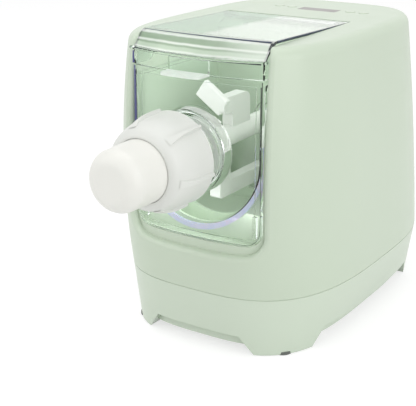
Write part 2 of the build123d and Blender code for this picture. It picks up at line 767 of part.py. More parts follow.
def lid_shell():
    """Hollow of even wall: flat top, rolled front and side walls, open below."""
    outside = [(HINGE_Y, TOP_Z, 0)] + LID_ROLL + LID_REST
    inside = [(HINGE_Y + PAST, TOP_Z - LID_WALL, 0)] + LID_ROLL_INSIDE
    inside += [(y, z - PAST, bow) for y, z, bow in LID_REST[1:4]]
    inside.append((HINGE_Y + PAST, LID_BOTTOM - PAST, 0))
    return lid_form(outside, LID_HALF) - lid_form(inside, LID_HALF - LID_WALL)


def lid_knuckle(x):
    """Barrel at one end of the hinge with the root that joins it to the lid."""
    span = (x, x + KNUCKLE_LENGTH)
    barrel = rod_x(HINGE_R, span, HINGE_Y, HINGE_Z)
    return barrel + box(span, (HINGE_Y - KNUCKLE_ROOT, HINGE_Y), (HINGE_Z, TOP_Z - LID_WALL / 2))


def lip():
    """Bowed edge that stands out along the front of the lid."""
    rail = bowed(LIP_DEPTH, LIP_FRONT, LIP_BOW_R, (LIP_Z, LIP_Z + LIP_THICK))
    rail = rail & box((-LIP_HALF, LIP_HALF), (AHEAD_Y, 0), (LIP_Z - PAST, LIP_Z + LIP_THICK + PAST))
    front_edges = rail.edges().filter_by(lambda edge: edge.length > LIP_HALF).group_by(Axis.Y)[0]
    return fillet(front_edges, LIP_ROUND)


def thumb_tab():
    """Frosted thumb tab that hangs from the middle of the lip and ends in a small shelf."""
    blade = bowed(TAB_THICK, LIP_FRONT - TAB_PROUD, LIP_BOW_R, (TAB_BOTTOM, LIP_Z))
    blade = blade & box((-TAB_HALF, TAB_HALF), (AHEAD_Y, 0), (0, TOP_Z))
    depth = LIP_FRONT - TAB_PROUD + TAB_THICK / 2 - SHELF_FRONT
    shelf = bowed(depth, SHELF_FRONT, LIP_BOW_R, (TAB_BOTTOM, TAB_BOTTOM + SHELF_THICK))
    shelf = shelf & box((-TAB_HALF, TAB_HALF), (AHEAD_Y, 0), (0, TOP_Z))
    corners = shelf.edges().filter_by(Axis.Z).group_by(Axis.Y)[0]
    shelf = fillet(corners, SHELF_CORNER)
    return largest(blade + shelf)


def lid():
    """Clear lid with its lip, hinge knuckles and the peg that closes the switch."""
    rear_strip = box((-LID_HALF, LID_HALF), (HINGE_Y - PAST, LID_REAR), (TOP_Z - LID_WALL, TOP_Z))
    rear_strip = fillet(rear_strip.edges().filter_by(Axis.X).group_by(Axis.Y)[-1], REAR_EDGE_ROUND)
    peg = rod_z(PEG_R, PEG_X, PEG_Y, (PEG_TIP_Z, TOP_Z - LID_WALL / 2))
    peg = fillet(peg.edges().group_by(Axis.Z)[0], SOFT)
    knuckles = [lid_knuckle(x) for x in (-LID_HALF, LID_HALF - KNUCKLE_LENGTH)]
    whole = lid_shell() + [lip(), rear_strip, peg] + knuckles
    pin_hole = rod_x(HINGE_PIN_R + RUNNING, (-LID_HALF - PAST, LID_HALF + PAST), HINGE_Y, HINGE_Z)
    return largest(whole - pin_hole)


def hinge_pin():
    """Steel pin on which the lid turns."""
    return rod_x(HINGE_PIN_R, (-OPENING_HALF - LINER_WALL, OPENING_HALF + LINER_WALL), HINGE_Y, HINGE_Z)


# ---------------------------------------------------------------- clear front panel
def panel_prism(inset=0.0):
    """Outline of the panel as a prism along Y."""
    top = PANEL_TOP - inset
    return window_prism(PANEL_HALF - inset, PANEL_BOTTOM + inset, top, PANEL_ROUND - inset, (AHEAD_Y, 0))


def panel_neck():
    """Neck that the nut screws onto, with its collar and flange, solid inside."""
    return turned(
        [
            (0, NECK_FRONT),
            (NECK_R - NECK_CHAMFER, NECK_FRONT),
            (NECK_R, NECK_FRONT + NECK_CHAMFER),
            (NECK_R, COLLAR_FRONT),
            (COLLAR_R, COLLAR_FRONT),
            (COLLAR_R, FLANGE_YS[0]),
            (FLANGE_R, FLANGE_YS[0]),
            (FLANGE_R, FLANGE_YS[1]),
            (COLLAR_R, FLANGE_YS[1]),
            (COLLAR_R, COLLAR_REAR),
            (NECK_ROOT_R, NECK_ROOT_Y),
            (NECK_ROOT_R, NECK_ROOT_REAR),
            (0, NECK_ROOT_REAR),
        ]
    )


def neck_lugs():
    """Short lugs round the neck that the nut's groove turns behind."""
    lug = ring_y(LUG_R, NECK_R - PAST, LUG_YS)
    wedge = box((-LUG_HALF, LUG_HALF), (LUG_YS[0] - PAST, LUG_YS[1] + PAST), (0, 2 * LUG_R))
    turns = [LUG_ANGLE + i * 360 / LUG_COUNT for i in range(LUG_COUNT)]
    return [lug & (Pos(0, 0, AXIS_Z) * Rot(0, turn, 0) * wedge) for turn in turns]


def front_panel():
    """Bowed clear panel with the threaded neck that the nut screws onto."""
    height = (PANEL_BOTTOM - PAST, PANEL_TOP + PAST)
    sheet = bowed(PANEL_THICK, PANEL_FRONT, PANEL_BOW_R, height) & panel_prism()
    rim_front, rim_r = PANEL_FRONT - PANEL_RIM_PROUD, PANEL_BOW_R + PANEL_RIM_PROUD
    rim = bowed(PANEL_RIM_PROUD + PAST, rim_front, rim_r, height)
    rim = rim & (panel_prism() - panel_prism(PANEL_RIM))
    catches = [box((x - CATCH_HALF, x + CATCH_HALF), CATCH_YS, CATCH_ZS) for x in (-CATCH_X, CATCH_X)]
    behind = bow_cut(PANEL_BOW_R - PAST)
    panel = sheet + [rim, panel_neck()] + neck_lugs() + [catch & behind for catch in catches]
    bore = rod_y(BARREL_R, (NECK_FRONT - PAST, PANEL_FRONT + 2 * PANEL_THICK))
    return largest(panel - bore)


# ---------------------------------------------------------------- mixing cup
def bow_cut(r):
    """Everything behind an upright curved face that follows the panel's bow."""
    return rod_z(r, 0, panel_bow_y, (0, 2 * TOP_Z))


def mixing_cup():
    """Clear U-shaped cup, open above and at the front, where a flange meets the panel's seal."""
    front = PANEL_FRONT
    inside = trough_profile(TROUGH_R, CUP_TOP + PAST, (front - PAST, CUP_REAR - CUP_WALL))
    shell = trough_profile(cup_outer_r, CUP_TOP, (front, CUP_REAR)) - inside
    flange = trough_profile(CUP_FLANGE_R, CUP_TOP, (front, CUP_FLANGE_REAR)) - inside
    cup = (shell + flange) & bow_cut(PANEL_BOW_R - PANEL_THICK - SEAL_THICK)
    rim = trough_profile(cup_outer_r + CUP_RIM, CUP_TOP, (CUP_FLANGE_REAR, CUP_REAR)) - inside
    rim = rim & box((-OPENING_HALF, OPENING_HALF), (front, 0), (CUP_TOP - CUP_RIM_HEIGHT, CUP_TOP))
    boss = (CUP_REAR - CUP_WALL - HUB_BOSS, CUP_REAR)
    cup += [rim, ring_y(HUB_HOLE_R + HUB_BOSS, HUB_HOLE_R, boss)]
    return largest(cup - rod_y(HUB_HOLE_R, (boss[0] - PAST, boss[1] + PAST)))


def cup_seal():
    """Silicone strip round the cup's mouth, thickest at its lowest point."""
    band = rod_y(CUP_FLANGE_R, (PANEL_FRONT, SEAL_REAR), 0, TROUGH_Z)
    band -= rod_y(SEAL_INNER_R, (PANEL_FRONT - PAST, SEAL_REAR + PAST), 0, TROUGH_Z + SEAL_RISE)
    band = band & box((-RECESS_HALF, RECESS_HALF), (AHEAD_Y, 0), (0, SEAL_END_Z))
    outer_r = PANEL_BOW_R - PANEL_THICK - TINY
    return largest((band & bow_cut(outer_r)) - bow_cut(outer_r + TINY - SEAL_THICK))


def hub_seal():
    """Silicone ring in the cup's rear wall, around the paddle's hub."""
    return ring_y(HUB_HOLE_R, HUB_R + RUNNING, (CUP_REAR - CUP_WALL - HUB_BOSS, CUP_REAR))


# ---------------------------------------------------------------- nut, die cap and seal
def nut_body(grow=0.0):
    """Rounded body of the nut as a solid; grow makes it wider behind its face."""
    rear = [(NUT_REAR_R + grow, NUT_REAR), (0, NUT_REAR), (0, NUT_FRONT), (CAP_R + NUT_RIM / 2, NUT_FRONT)]
    shoulder = [(CAP_R + NUT_RIM / 2, NUT_FRONT)]
    for r, behind in NUT_SHOULDER:
        share = min(behind / NUT_SHOULDER[-1][1], 1.0)
        shoulder.append((r + grow * share, NUT_FRONT + behind))
    shoulder.append(rear[0])
    edges = [Edge.make_spline([(r, y, 0) for r, y in shoulder])]
    for start, end in zip(rear, rear[1:]):
        edges.append(Edge.make_line((start[0], start[1], 0), (end[0], end[1], 0)))
    return Pos(0, 0, AXIS_Z) * revolve(Face(Wire(edges)), Axis.Y)


def nut_ridge(turn):
    """Sharp grip ridge along the nut, before it is trimmed to the nut's length."""
    corners = [(-NUT_RIDGE_HALF, NUT_RIDGE_ROOT), (NUT_RIDGE_HALF, NUT_RIDGE_ROOT), (0, NUT_RIDGE_TIP)]
    face = make_face(Polyline(*[(x, NUT_FRONT, z) for x, z in corners], close=True))
    wedge = extrude(face, NUT_REAR - NUT_FRONT, dir=(0, 1, 0))
    return Pos(0, 0, AXIS_Z) * Rot(0, turn, 0) * wedge


def nut_inside():
    """Hollow of the nut: clear of the die cap in front, of the neck and its lugs behind."""
    shoulder = NUT_FRONT + NUT_FACE
    inner_r = CAP_FLANGE_R + GAP
    groove_r = LUG_R + GAP
    return turned(
        [
            (0, NUT_FRONT - PAST),
            (CAP_R + GAP, NUT_FRONT - PAST),
            (CAP_R + GAP, shoulder),
            (inner_r, shoulder),
            (NECK_R + GAP, NECK_FRONT - PAST),
            (NECK_R + GAP, LUG_YS[0] - GAP),
            (groove_r, LUG_YS[0] - GAP),
            (groove_r, LUG_YS[1] + GAP),
            (NECK_R + GAP, LUG_YS[1] + GAP),
            (NECK_R + GAP, NUT_REAR - 2 * NUT_RIM),
            (NUT_REAR_R - NUT_WALL, NUT_REAR - NUT_RIM),
            (NUT_REAR_R - NUT_WALL, NUT_REAR + PAST),
            (0, NUT_REAR + PAST),
        ]
    )


def retaining_nut():
    """White rounded nut with six grip ridges that clamps the die cap to the neck."""
    turns = [90 - NUT_RIDGE_ANGLE + i * 360 / NUT_RIDGES for i in range(NUT_RIDGES)]
    wide = nut_body(NUT_RIDGE_PROUD)
    body = nut_body() + [nut_ridge(turn) & wide for turn in turns]
    return largest(body - nut_inside())


def cap_outer(grow=0.0):
    """Slightly tapered cap with a well rounded front; grow makes it smaller when it is negative."""
    front = CAP_FRONT - grow
    shoulder = NUT_FRONT + NUT_FACE + CAP_FLANGE_GAP
    cone = turned([(0, front), (CAP_FRONT_R + grow, front), (CAP_R + grow, shoulder), (0, shoulder)])
    return fillet(cone.edges().group_by(Axis.Y)[0], CAP_ROUND + grow)


def die_holes():
    """Rows of round holes through the underside of the cap."""
    middle = (CAP_FRONT + CAP_ROUND + NUT_FRONT) / 2 - DIE_MIDDLE_IN
    columns = [middle + (i - (DIE_COLUMNS - 1) / 2) * DIE_PITCH for i in range(DIE_COLUMNS)]
    rows = [(i - (DIE_ROWS - 1) / 2) * DIE_PITCH for i in range(DIE_ROWS)]
    span = (AXIS_Z - CAP_R - PAST, AXIS_Z - DIE_FLOOR)
    return [rod_z(DIE_HOLE_R, x, y, span) for y in columns for x in rows]


def die_cap():
    """Round hollow cap whose underside is the die: dough leaves downwards through its rows of holes."""
    shoulder = NUT_FRONT + NUT_FACE + CAP_FLANGE_GAP
    flange = rod_y(CAP_FLANGE_R, (shoulder, CAP_FLANGE_REAR))
    bore = rod_y(CAP_R - CAP_WALL, (shoulder - PAST, CAP_FLANGE_REAR + PAST))
    return largest((cap_outer() + flange) - ([cap_outer(-CAP_WALL), bore] + die_holes()))


def die_seal():
    """Silicone ring between the neck's end and the die cap."""
    return ring_y(NECK_R - DIE_SEAL_WALL, BARREL_R + DIE_SEAL_GAP, (CAP_FLANGE_REAR, NECK_FRONT))


# ---------------------------------------------------------------- auger and paddle
def flight_section():
    """Cross-section of the auger: its core and one wedge-shaped flight."""
    far, half = radians(AUGER_FLIGHT_ANGLE), radians(AUGER_FLIGHT_ANGLE / 2)
    tip = (AUGER_R * cos(far), AUGER_R * sin(far))
    middle = (AUGER_R * cos(half), AUGER_R * sin(half))
    edges = [
        Edge.make_line((0, 0), (AUGER_R, 0)),
        Edge.make_three_point_arc((AUGER_R, 0), middle, tip),
        Edge.make_line(tip, (0, 0)),
    ]
    return (Face(Wire(edges)) + make_face(Edge.make_circle(AUGER_CORE_R))).faces()[0]


def extruder_auger():
    """Screw that presses the dough through the neck into the die."""
    length = AUGER_REAR - AUGER_FRONT
    turn = 360 * length / AUGER_PITCH
    screw = Solid.extrude_linear_with_rotation(flight_section(), (0, 0, 0), (0, 0, length), turn)
    screw = Pos(0, AUGER_FRONT, AXIS_Z) * Rot(-90, 0, 0) * screw
    return screw + hex_y(HEX_PLUG, (AUGER_REAR - PAST, AUGER_REAR + HEX_PLUG_LENGTH))


def stirring_arm():
    """Upper arm of the paddle: a wide post with a thick bar that points forward."""
    half = PADDLE_THICK / 2
    post = box((-half, half), POST_YS, (AXIS_Z, AXIS_Z + BAR_OUTER))
    bar = box((-half, half), (BAR_FRONT, POST_YS[1]), (AXIS_Z + BAR_INNER, AXIS_Z + BAR_OUTER))
    arm = post + bar
    rear_top = arm.edges().filter_by(Axis.X).group_by(Axis.Y)[-1].sort_by(Axis.Z)[-1]
    arm = fillet(rear_top, POST_CORNER)
    ahead = arm.edges().filter_by(Axis.X).filter_by_position(Axis.Y, BAR_FRONT - PAST, POST_YS[0] + PAST)
    return fillet(ahead, PADDLE_ROUND)


def stirring_blade():
    """Tilted blade at the front end of the upper arm."""
    half_thick, half_width = BLADE_THICK / 2, BLADE_WIDTH / 2
    blade = box((-BLADE_TAIL, BLADE_LENGTH), (-half_thick, half_thick), (-half_width, half_width))
    blade = fillet(blade.edges(), BLADE_ROUND)
    root_z = AXIS_Z + (BAR_INNER + BAR_OUTER) / 2
    return Pos(0, BAR_FRONT + half_thick, root_z) * Rot(0, -BLADE_TILT, 0) * blade


def sweeping_arm():
    """Lower arm of the paddle, which wipes along the bottom of the cup."""
    half = PADDLE_THICK / 2
    post = box((-half, half), SWEEP_POST_YS, (AXIS_Z - SWEEP_OUTER, AXIS_Z))
    bar_z = (AXIS_Z - SWEEP_OUTER, AXIS_Z - SWEEP_INNER)
    arm = post + box((-half, half), (SWEEP_POST_YS[0], SWEEP_BAR_REAR), bar_z)
    return fillet(arm.edges().filter_by(Axis.X), PADDLE_ROUND)


def mixing_paddle():
    """White paddle: a hub with a stirring arm above and a sweeping arm below."""
    hub = rod_y(HUB_R, (HUB_FRONT, HUB_REAR))
    paddle = hub + [stirring_arm(), stirring_blade(), sweeping_arm()]
    front_socket = (HUB_FRONT - PAST, HUB_FRONT + HEX_PLUG_LENGTH + PAST)
    rear_socket = (HEX_FRONT - PAST, HUB_REAR + PAST)
    sockets = [hex_y(HEX_PLUG + SOCKET_GAP, front_socket), hex_y(HEX_DRIVE + GAP, rear_socket)]
    return largest(paddle - sockets)


# ---------------------------------------------------------------- gears
def involute_point(base_r, r, offset):
    """Point of a tooth's flank at radius r; offset turns the flank about the gear's centre."""
    roll = sqrt(max(r * r / (base_r * base_r) - 1, 0.0))
    angle = roll - atan(roll) + offset
    return r * cos(angle), r * sin(angle)


def turned_point(point, angle):
    """Point turned about the origin."""
    x, y = point
    return x * cos(angle) - y * sin(angle), x * sin(angle) + y * cos(angle)


def gear(module, teeth, bore, y, x, z, phase):
    """Involute spur gear along Y, turned so that a tooth points at the phase angle."""
    pitch_r = module * teeth / 2
    base_r = pitch_r * cos(radians(PRESSURE_ANGLE))
    outer_r, root_r = pitch_r + module, pitch_r - GEAR_ROOT * module
    low_r = max(base_r, root_r) + TINY
    involute = tan(radians(PRESSURE_ANGLE)) - radians(PRESSURE_ANGLE)
    half_tooth = pi / (2 * teeth) - BACKLASH / (2 * pitch_r) + involute
    step = 2 * pi / teeth
    edges = []
    for i in range(teeth):
        centre = phase + i * step
        radii = (low_r, (low_r + outer_r) / 2, outer_r)
        right = [involute_point(base_r, r, -half_tooth) for r in radii]
        foot_angle = atan2(right[0][1], right[0][0])
        flank_in = [turned_point(p, centre) for p in right]
        flank_out = [turned_point((p[0], -p[1]), centre) for p in reversed(right)]
        foot_in = turned_point((root_r, 0), centre + foot_angle)
        foot_out = turned_point((root_r, 0), centre - foot_angle)
        next_foot = turned_point((root_r, 0), centre + step + foot_angle)
        edges.append(Edge.make_line(foot_in, flank_in[0]))
        edges.append(Edge.make_three_point_arc(*flank_in))
        edges.append(Edge.make_line(flank_in[2], flank_out[0]))
        edges.append(Edge.make_three_point_arc(*flank_out))
        edges.append(Edge.make_line(flank_out[2], foot_out))
        edges.append(Edge.make_line(foot_out, next_foot))
    blank = Face(Wire(edges))
    # The face is drawn in X and Y and stood up so that its Y becomes the machine's Z
    body = Pos(x, y[1], z) * Rot(90, 0, 0) * extrude(blank, y[1] - y[0])
    return body - rod_y(bore, (y[0] - PAST, y[1] + PAST), x, z)


def mesh_phase(from_angle, to_angle, teeth, other_phase, other_teeth):
    """Phase of a gear whose tooth gap meets the other gear's tooth along the line of centres."""
    other_offset = (from_angle - other_phase) / (2 * pi / other_teeth)
    return to_angle + (other_offset + 0.5) * (2 * pi / teeth)


def thinned(wheel, module, ys, hub_r, x, z):
    """Wheel with its web thinned on both faces between its rim and its hub."""
    rim_r = module * WHEEL_TEETH / 2 - WHEEL_RIM
    middle = (ys[0] + ys[1]) / 2
    faces = [(ys[0] - PAST, middle - WHEEL_WEB / 2), (middle + WHEEL_WEB / 2, ys[1] + PAST)]
    return largest(wheel - [ring_y(rim_r, hub_r, span, x, z) for span in faces])


def output_wheel():
    """Large slow wheel on the drive shaft."""
    wheel = gear(SLOW_MODULE, WHEEL_TEETH, SHAFT_R, WHEEL_YS, 0, AXIS_Z, 0.0)
    return thinned(wheel, SLOW_MODULE, WHEEL_YS, SHAFT_R + WHEEL_HUB, 0, AXIS_Z)


def slow_pinion():
    """Small wheel on the idler shaft that drives the output wheel."""
    to_wheel = atan2(AXIS_Z - idler_z, -IDLER_X)
    phase = mesh_phase(to_wheel + pi, to_wheel, PINION_TEETH, 0.0, WHEEL_TEETH)
    return gear(SLOW_MODULE, PINION_TEETH, IDLER_SHAFT_R, SLOW_PINION_YS, IDLER_X, idler_z, phase)


def idler_wheel():
    """Large fast wheel on the idler shaft."""
    wheel = gear(FAST_MODULE, WHEEL_TEETH, IDLER_SHAFT_R, FAST_WHEEL_YS, IDLER_X, idler_z, 0.0)
    return thinned(wheel, FAST_MODULE, FAST_WHEEL_YS, IDLER_SHAFT_R + WHEEL_HUB, IDLER_X, idler_z)


def idler_shaft():
    """Shaft between the two gearbox plates, with the spacer that parts its two wheels."""
    length = (FRONT_PLATE_Y - SHAFT_END, REAR_PLATE_Y + PLATE_THICK + SHAFT_END)
    shaft = rod_y(IDLER_SHAFT_R, length, IDLER_X, idler_z)
    between = (SLOW_PINION_YS[1], FAST_WHEEL_YS[0])
    return shaft + ring_y(IDLER_SHAFT_R + SPACER, IDLER_SHAFT_R, between, IDLER_X, idler_z)


def motor_pinion():
    """Small wheel on the motor shaft."""
    to_idler = atan2(idler_z - motor_z, IDLER_X - MOTOR_X)
    phase = mesh_phase(to_idler + pi, to_idler, PINION_TEETH, 0.0, WHEEL_TEETH)
    return gear(FAST_MODULE, PINION_TEETH, MOTOR_SHAFT_R, FAST_PINION_YS, MOTOR_X, motor_z, phase)


def drive_shaft():
    """Steel shaft with a hexagonal nose that turns the paddle."""
    shaft = rod_y(SHAFT_R, (BAY_REAR - SEAT_DEPTH, SHAFT_REAR))
    nose = hex_y(HEX_DRIVE, (HEX_FRONT, BAY_REAR))
    collar = rod_y(SHAFT_R + SPACER, (WHEEL_YS[1], WHEEL_YS[1] + SHAFT_COLLAR))
    return shaft + nose + collar


# ---------------------------------------------------------------- gearbox and motor
def plate_outline(y):
    """Gearbox plate with its foot on the base."""
    span = (y, y + PLATE_THICK)
    web = box(PLATE_FOOT_XS, span, (FLOOR_Z, AXIS_Z - PLATE_HEAD_DROP))
    head = rod_y(PLATE_HEAD_R, span)
    waist = rod_y(MOTOR_R + PLATE_WAIST, span, MOTOR_X, motor_z)
    return web + [head, waist, rod_y(PLATE_IDLER_R, span, IDLER_X, idler_z)]


def standoff_positions():
    """Centres of the posts between the two gearbox plates, as X and Z."""
    return [(x, AXIS_Z + z) for x, z in STANDOFFS]


def foot_screw_positions():
    """Centres of the screws through the feet of the two gearbox plates into the base."""
    ys = (FRONT_PLATE_Y - FOOT_SCREW_IN, REAR_PLATE_Y + PLATE_THICK + FOOT_SCREW_IN)
    return [(x, y) for x in FOOT_SCREW_XS for y in ys]


def plate_holes(y, motor_hole_r):
    """Holes of a gearbox plate: for its bearing, bush and motor, and for all its screws."""
    span = (y - 2 * BEARING_PROUD, y + PLATE_THICK + 2 * BEARING_PROUD)
    cuts = [rod_y(SCREW_R, span, x, z) for x, z in standoff_positions()]
    cuts += [rod_z(SCREW_R, x, screw_y, (0, 2 * FLOOR_Z)) for x, screw_y in foot_screw_positions()]
    cuts += [rod_y(BEARING_R, span), rod_y(BUSH_R, span, IDLER_X, idler_z)]
    return cuts + [rod_y(motor_hole_r, span, MOTOR_X, motor_z)]


def gearbox_plate():
    """Steel plate behind the bay that carries the shafts' front ends."""
    y = FRONT_PLATE_Y
    seat = ring_y(BEARING_R + BEARING_SEAT, BEARING_R, (y - BEARING_PROUD, y + PLATE_THICK))
    foot = box(PLATE_FOOT_XS, (y - 2 * FOOT_SCREW_IN, y), (FLOOR_Z, FLOOR_Z + PLATE_THICK))
    return largest((plate_outline(y) + [seat, foot]) - plate_holes(y, PINION_HOLE_R))


def gearbox_cover():
    """Steel plate that closes the gear train and carries the motor."""
    y = REAR_PLATE_Y
    back = y + PLATE_THICK
    seat = ring_y(BEARING_R + BEARING_SEAT, BEARING_R, (y, back + BEARING_PROUD))
    foot = box(PLATE_FOOT_XS, (y, back + 2 * FOOT_SCREW_IN), (FLOOR_Z, FLOOR_Z + PLATE_THICK))
    return largest((plate_outline(y) + [seat, foot]) - plate_holes(y, MOTOR_BOSS_R))


def gearbox_standoffs():
    """Hollow posts that hold the two plates apart."""
    span = (FRONT_PLATE_Y + PLATE_THICK, REAR_PLATE_Y)
    return [ring_y(STANDOFF_R, SCREW_R, span, x, z) for x, z in standoff_positions()]


def gearbox_screws():
    """Screws through the plates and the posts between them, and down through the plates' feet."""
    screws = []
    back = REAR_PLATE_Y + PLATE_THICK
    for x, z in standoff_positions():
        shank = rod_y(SCREW_R - TINY, (FRONT_PLATE_Y, back), x, z)
        screws.append(shank + rod_y(SCREW_HEAD_R, (back, back + SCREW_HEAD), x, z))
    top = FLOOR_Z + PLATE_THICK
    for x, y in foot_screw_positions():
        shank = rod_z(SCREW_R - TINY, x, y, (FLOOR_Z - SCREW_R, top))
        screws.append(shank + rod_z(SCREW_HEAD_R, x, y, (top, top + SCREW_HEAD)))
    return screws


def bearing(y, r):
    """Plain outline of a ball bearing: two rings and the shield between them."""
    ring = ring_y(BEARING_R, r + RUNNING, y)
    recess = [(y[0] - PAST, y[0] + BEARING_DISH), (y[1] - BEARING_DISH, y[1] + PAST)]
    return ring - [ring_y(BEARING_R - BEARING_RING, r + BEARING_RING, span) for span in recess]


def front_bearing():
    """Bearing of the drive shaft in the front plate."""
    return bearing((FRONT_PLATE_Y - BEARING_PROUD, FRONT_PLATE_Y + PLATE_THICK), SHAFT_R)


def rear_bearing():
    """Bearing of the drive shaft in the rear plate."""
    return bearing((REAR_PLATE_Y, REAR_PLATE_Y + BEARING_LENGTH), SHAFT_R)


def idler_bushes():
    """Bronze bushes in which the idler shaft turns."""
    front = (FRONT_PLATE_Y - BUSH_PROUD, FRONT_PLATE_Y + PLATE_THICK)
    rear = (REAR_PLATE_Y, REAR_PLATE_Y + PLATE_THICK + BUSH_PROUD)
    return [ring_y(BUSH_R, IDLER_SHAFT_R + RUNNING, span, IDLER_X, idler_z) for span in (front, rear)]


def motor_can():
    """Steel can of the motor with its front end closed around a bearing seat."""
    hole_r = MOTOR_SHAFT_R + RUNNING
    tube = ring_y(MOTOR_R, MOTOR_R - MOTOR_WALL, (MOTOR_FRONT, motor_rear), MOTOR_X, motor_z)
    face = ring_y(MOTOR_R, hole_r, (MOTOR_FRONT, MOTOR_FRONT + MOTOR_WALL), MOTOR_X, motor_z)
    boss = ring_y(MOTOR_BOSS_R - SEAT_GAP, hole_r, (REAR_PLATE_Y, MOTOR_FRONT), MOTOR_X, motor_z)
    return tube + [face, boss]


def motor_end_cap():
    """Plastic rear cap of the motor with its brush holders."""
    cap_y = (motor_rear, motor_rear + MOTOR_CAP)
    cap = ring_y(MOTOR_R, MOTOR_SHAFT_R + RUNNING, cap_y, MOTOR_X, motor_z)
    side = (-BRUSH_HALF, BRUSH_HALF)
    holder = box(side, (motor_rear - BRUSH_LENGTH, motor_rear), side)
    return cap + [Pos(x, 0, motor_z) * holder for x in (MOTOR_X - BRUSH_X, MOTOR_X + BRUSH_X)]


def motor_magnets():
    """Two curved magnets inside the can."""
    span = (ROTOR_START, ROTOR_START + ROTOR_LENGTH - MAGNET_GAP)
    ring = ring_y(MOTOR_R - MOTOR_WALL, ROTOR_R + MAGNET_GAP, span, MOTOR_X, motor_z)
    width = (MOTOR_X - MOTOR_R, MOTOR_X + MOTOR_R)
    upper = ring & box(width, span, (motor_z + MAGNET_SPLIT, motor_z + MOTOR_R))
    lower = ring & box(width, span, (motor_z - MOTOR_R, motor_z - MAGNET_SPLIT))
    return [upper, lower]


def motor_rotor():
    """Armature with its commutator on the motor shaft."""
    end = ROTOR_START + ROTOR_LENGTH
    core = ring_y(ROTOR_R, MOTOR_SHAFT_R, (ROTOR_START, end), MOTOR_X, motor_z)
    reach = (ROTOR_R - ROTOR_SLOT_DEPTH, ROTOR_R + PAST)
    slot = box((-ROTOR_SLOT_HALF, ROTOR_SLOT_HALF), (ROTOR_START - PAST, end + PAST), reach)
    turns = [i * 360 / ROTOR_SLOTS for i in range(ROTOR_SLOTS)]
    slots = [Pos(MOTOR_X, 0, motor_z) * Rot(0, turn, 0) * slot for turn in turns]
    commutator = ring_y(COMMUTATOR_R, MOTOR_SHAFT_R, (end, end + COMMUTATOR_LENGTH), MOTOR_X, motor_z)
    return (core - slots) + commutator


def motor_shaft():
    """Shaft of the motor, from its pinion to its fan."""
    return rod_y(MOTOR_SHAFT_R, (FAST_PINION_YS[0], fan_front + FAN_WIDTH + FAN_GAP), MOTOR_X, motor_z)


def cooling_fan():
    """Fan that draws air past the motor and out through the rear slots."""
    span = (fan_front, fan_front + FAN_WIDTH)
    hub = ring_y(FAN_HUB_R, MOTOR_SHAFT_R, span, MOTOR_X, motor_z)
    disc = ring_y(FAN_R, MOTOR_SHAFT_R, (fan_front, fan_front + FAN_DISC), MOTOR_X, motor_z)
    blade = box((-FAN_BLADE_HALF, FAN_BLADE_HALF), span, (FAN_HUB_R - PAST, FAN_R - PAST))
    turns = [i * 360 / FAN_BLADES for i in range(FAN_BLADES)]
    return hub + [disc] + [Pos(MOTOR_X, 0, motor_z) * Rot(0, turn, 0) * blade for turn in turns]


# ---------------------------------------------------------------- electrics and controls
def power_inlet():
    """Appliance inlet in the rear wall: a flanged block with a deep socket and three pins."""
    block = inlet_block(INLET_SIZE, (INLET_FACE - INLET_DEPTH, INLET_FACE - INLET_PLATE))
    flange = inlet_block(INLET_FLANGE, (INLET_FACE - INLET_PLATE, INLET_FACE))
    socket = inlet_block(INLET_SIZE, (INLET_FACE - SOCKET_DEPTH, INLET_FACE + PAST), -INLET_WALL)
    half_x, half_z = PIN_HALVES
    root = INLET_FACE - SOCKET_DEPTH - PAST
    pin = box((-half_x, half_x), (root, root + PIN_LENGTH), (-half_z, half_z))
    return ((block + flange) - socket) + [Pos(INLET_X + x, 0, INLET_Z + z) * pin for x, z in PINS]


def display_block(inset, z):
    """Rectangular block at the display."""
    half_x, half_y = DISPLAY_SIZE[0] / 2 - inset, DISPLAY_SIZE[1] / 2 - inset
    return box((DISPLAY_X - half_x, DISPLAY_X + half_x), (DISPLAY_Y - half_y, DISPLAY_Y + half_y), z)


def display_window():
    """Tinted lens of the display, flush with the top."""
    return display_block(0, (TOP_Z - DISPLAY_THICK, TOP_Z))


def display_module():
    """Segment display on the control board, under the lens."""
    return display_block(DISPLAY_LEDGE + GAP, (BOARD_Z + BOARD_THICK, TOP_Z - DISPLAY_THICK - DISPLAY_GAP))


def control_board():
    """Circuit board under the top, with a tact switch below each key."""
    top = BOARD_Z + BOARD_THICK
    board = box((DISPLAY_X - BOARD_HALF, DISPLAY_X + BOARD_HALF), BOARD_YS, (BOARD_Z, top))
    side = (-SWITCH_SIDE, SWITCH_SIDE)
    switch = box(side, side, (top - TINY, key_bottom() - KEY_TRAVEL - DISPLAY_GAP))
    span = (BOARD_Z - PAST, top + PAST)
    holes = [rod_z(BOARD_SCREW_R + DISPLAY_GAP, x, y, span) for x, y in board_posts()]
    return (board + [Pos(x, y, 0) * switch for x, y in key_positions()]) - holes


def board_screws():
    """Screws that hang the control board from its posts."""
    screws = []
    for x, y in board_posts():
        shank = rod_z(BOARD_SCREW_R - TINY, x, y, (BOARD_Z, TOP_Z - WALL - PAST))
        screws.append(shank + rod_z(BOARD_SCREW_HEAD_R, x, y, (BOARD_Z - BOARD_SCREW_HEAD, BOARD_Z)))
    return screws


def key_bottom():
    """Height of the keys' undersides at rest."""
    return TOP_Z - WALL - GAP - KEY_FLANGE_THICK


def key(x, y):
    """Round key cap with the flange that keeps it in its hole."""
    cap = rod_z(KEY_R, x, y, (key_bottom(), TOP_Z + KEY_PROUD))
    cap = fillet(cap.edges().group_by(Axis.Z)[-1], SOFT)
    return cap + rod_z(KEY_R + KEY_FLANGE, x, y, (key_bottom(), TOP_Z - WALL - GAP))


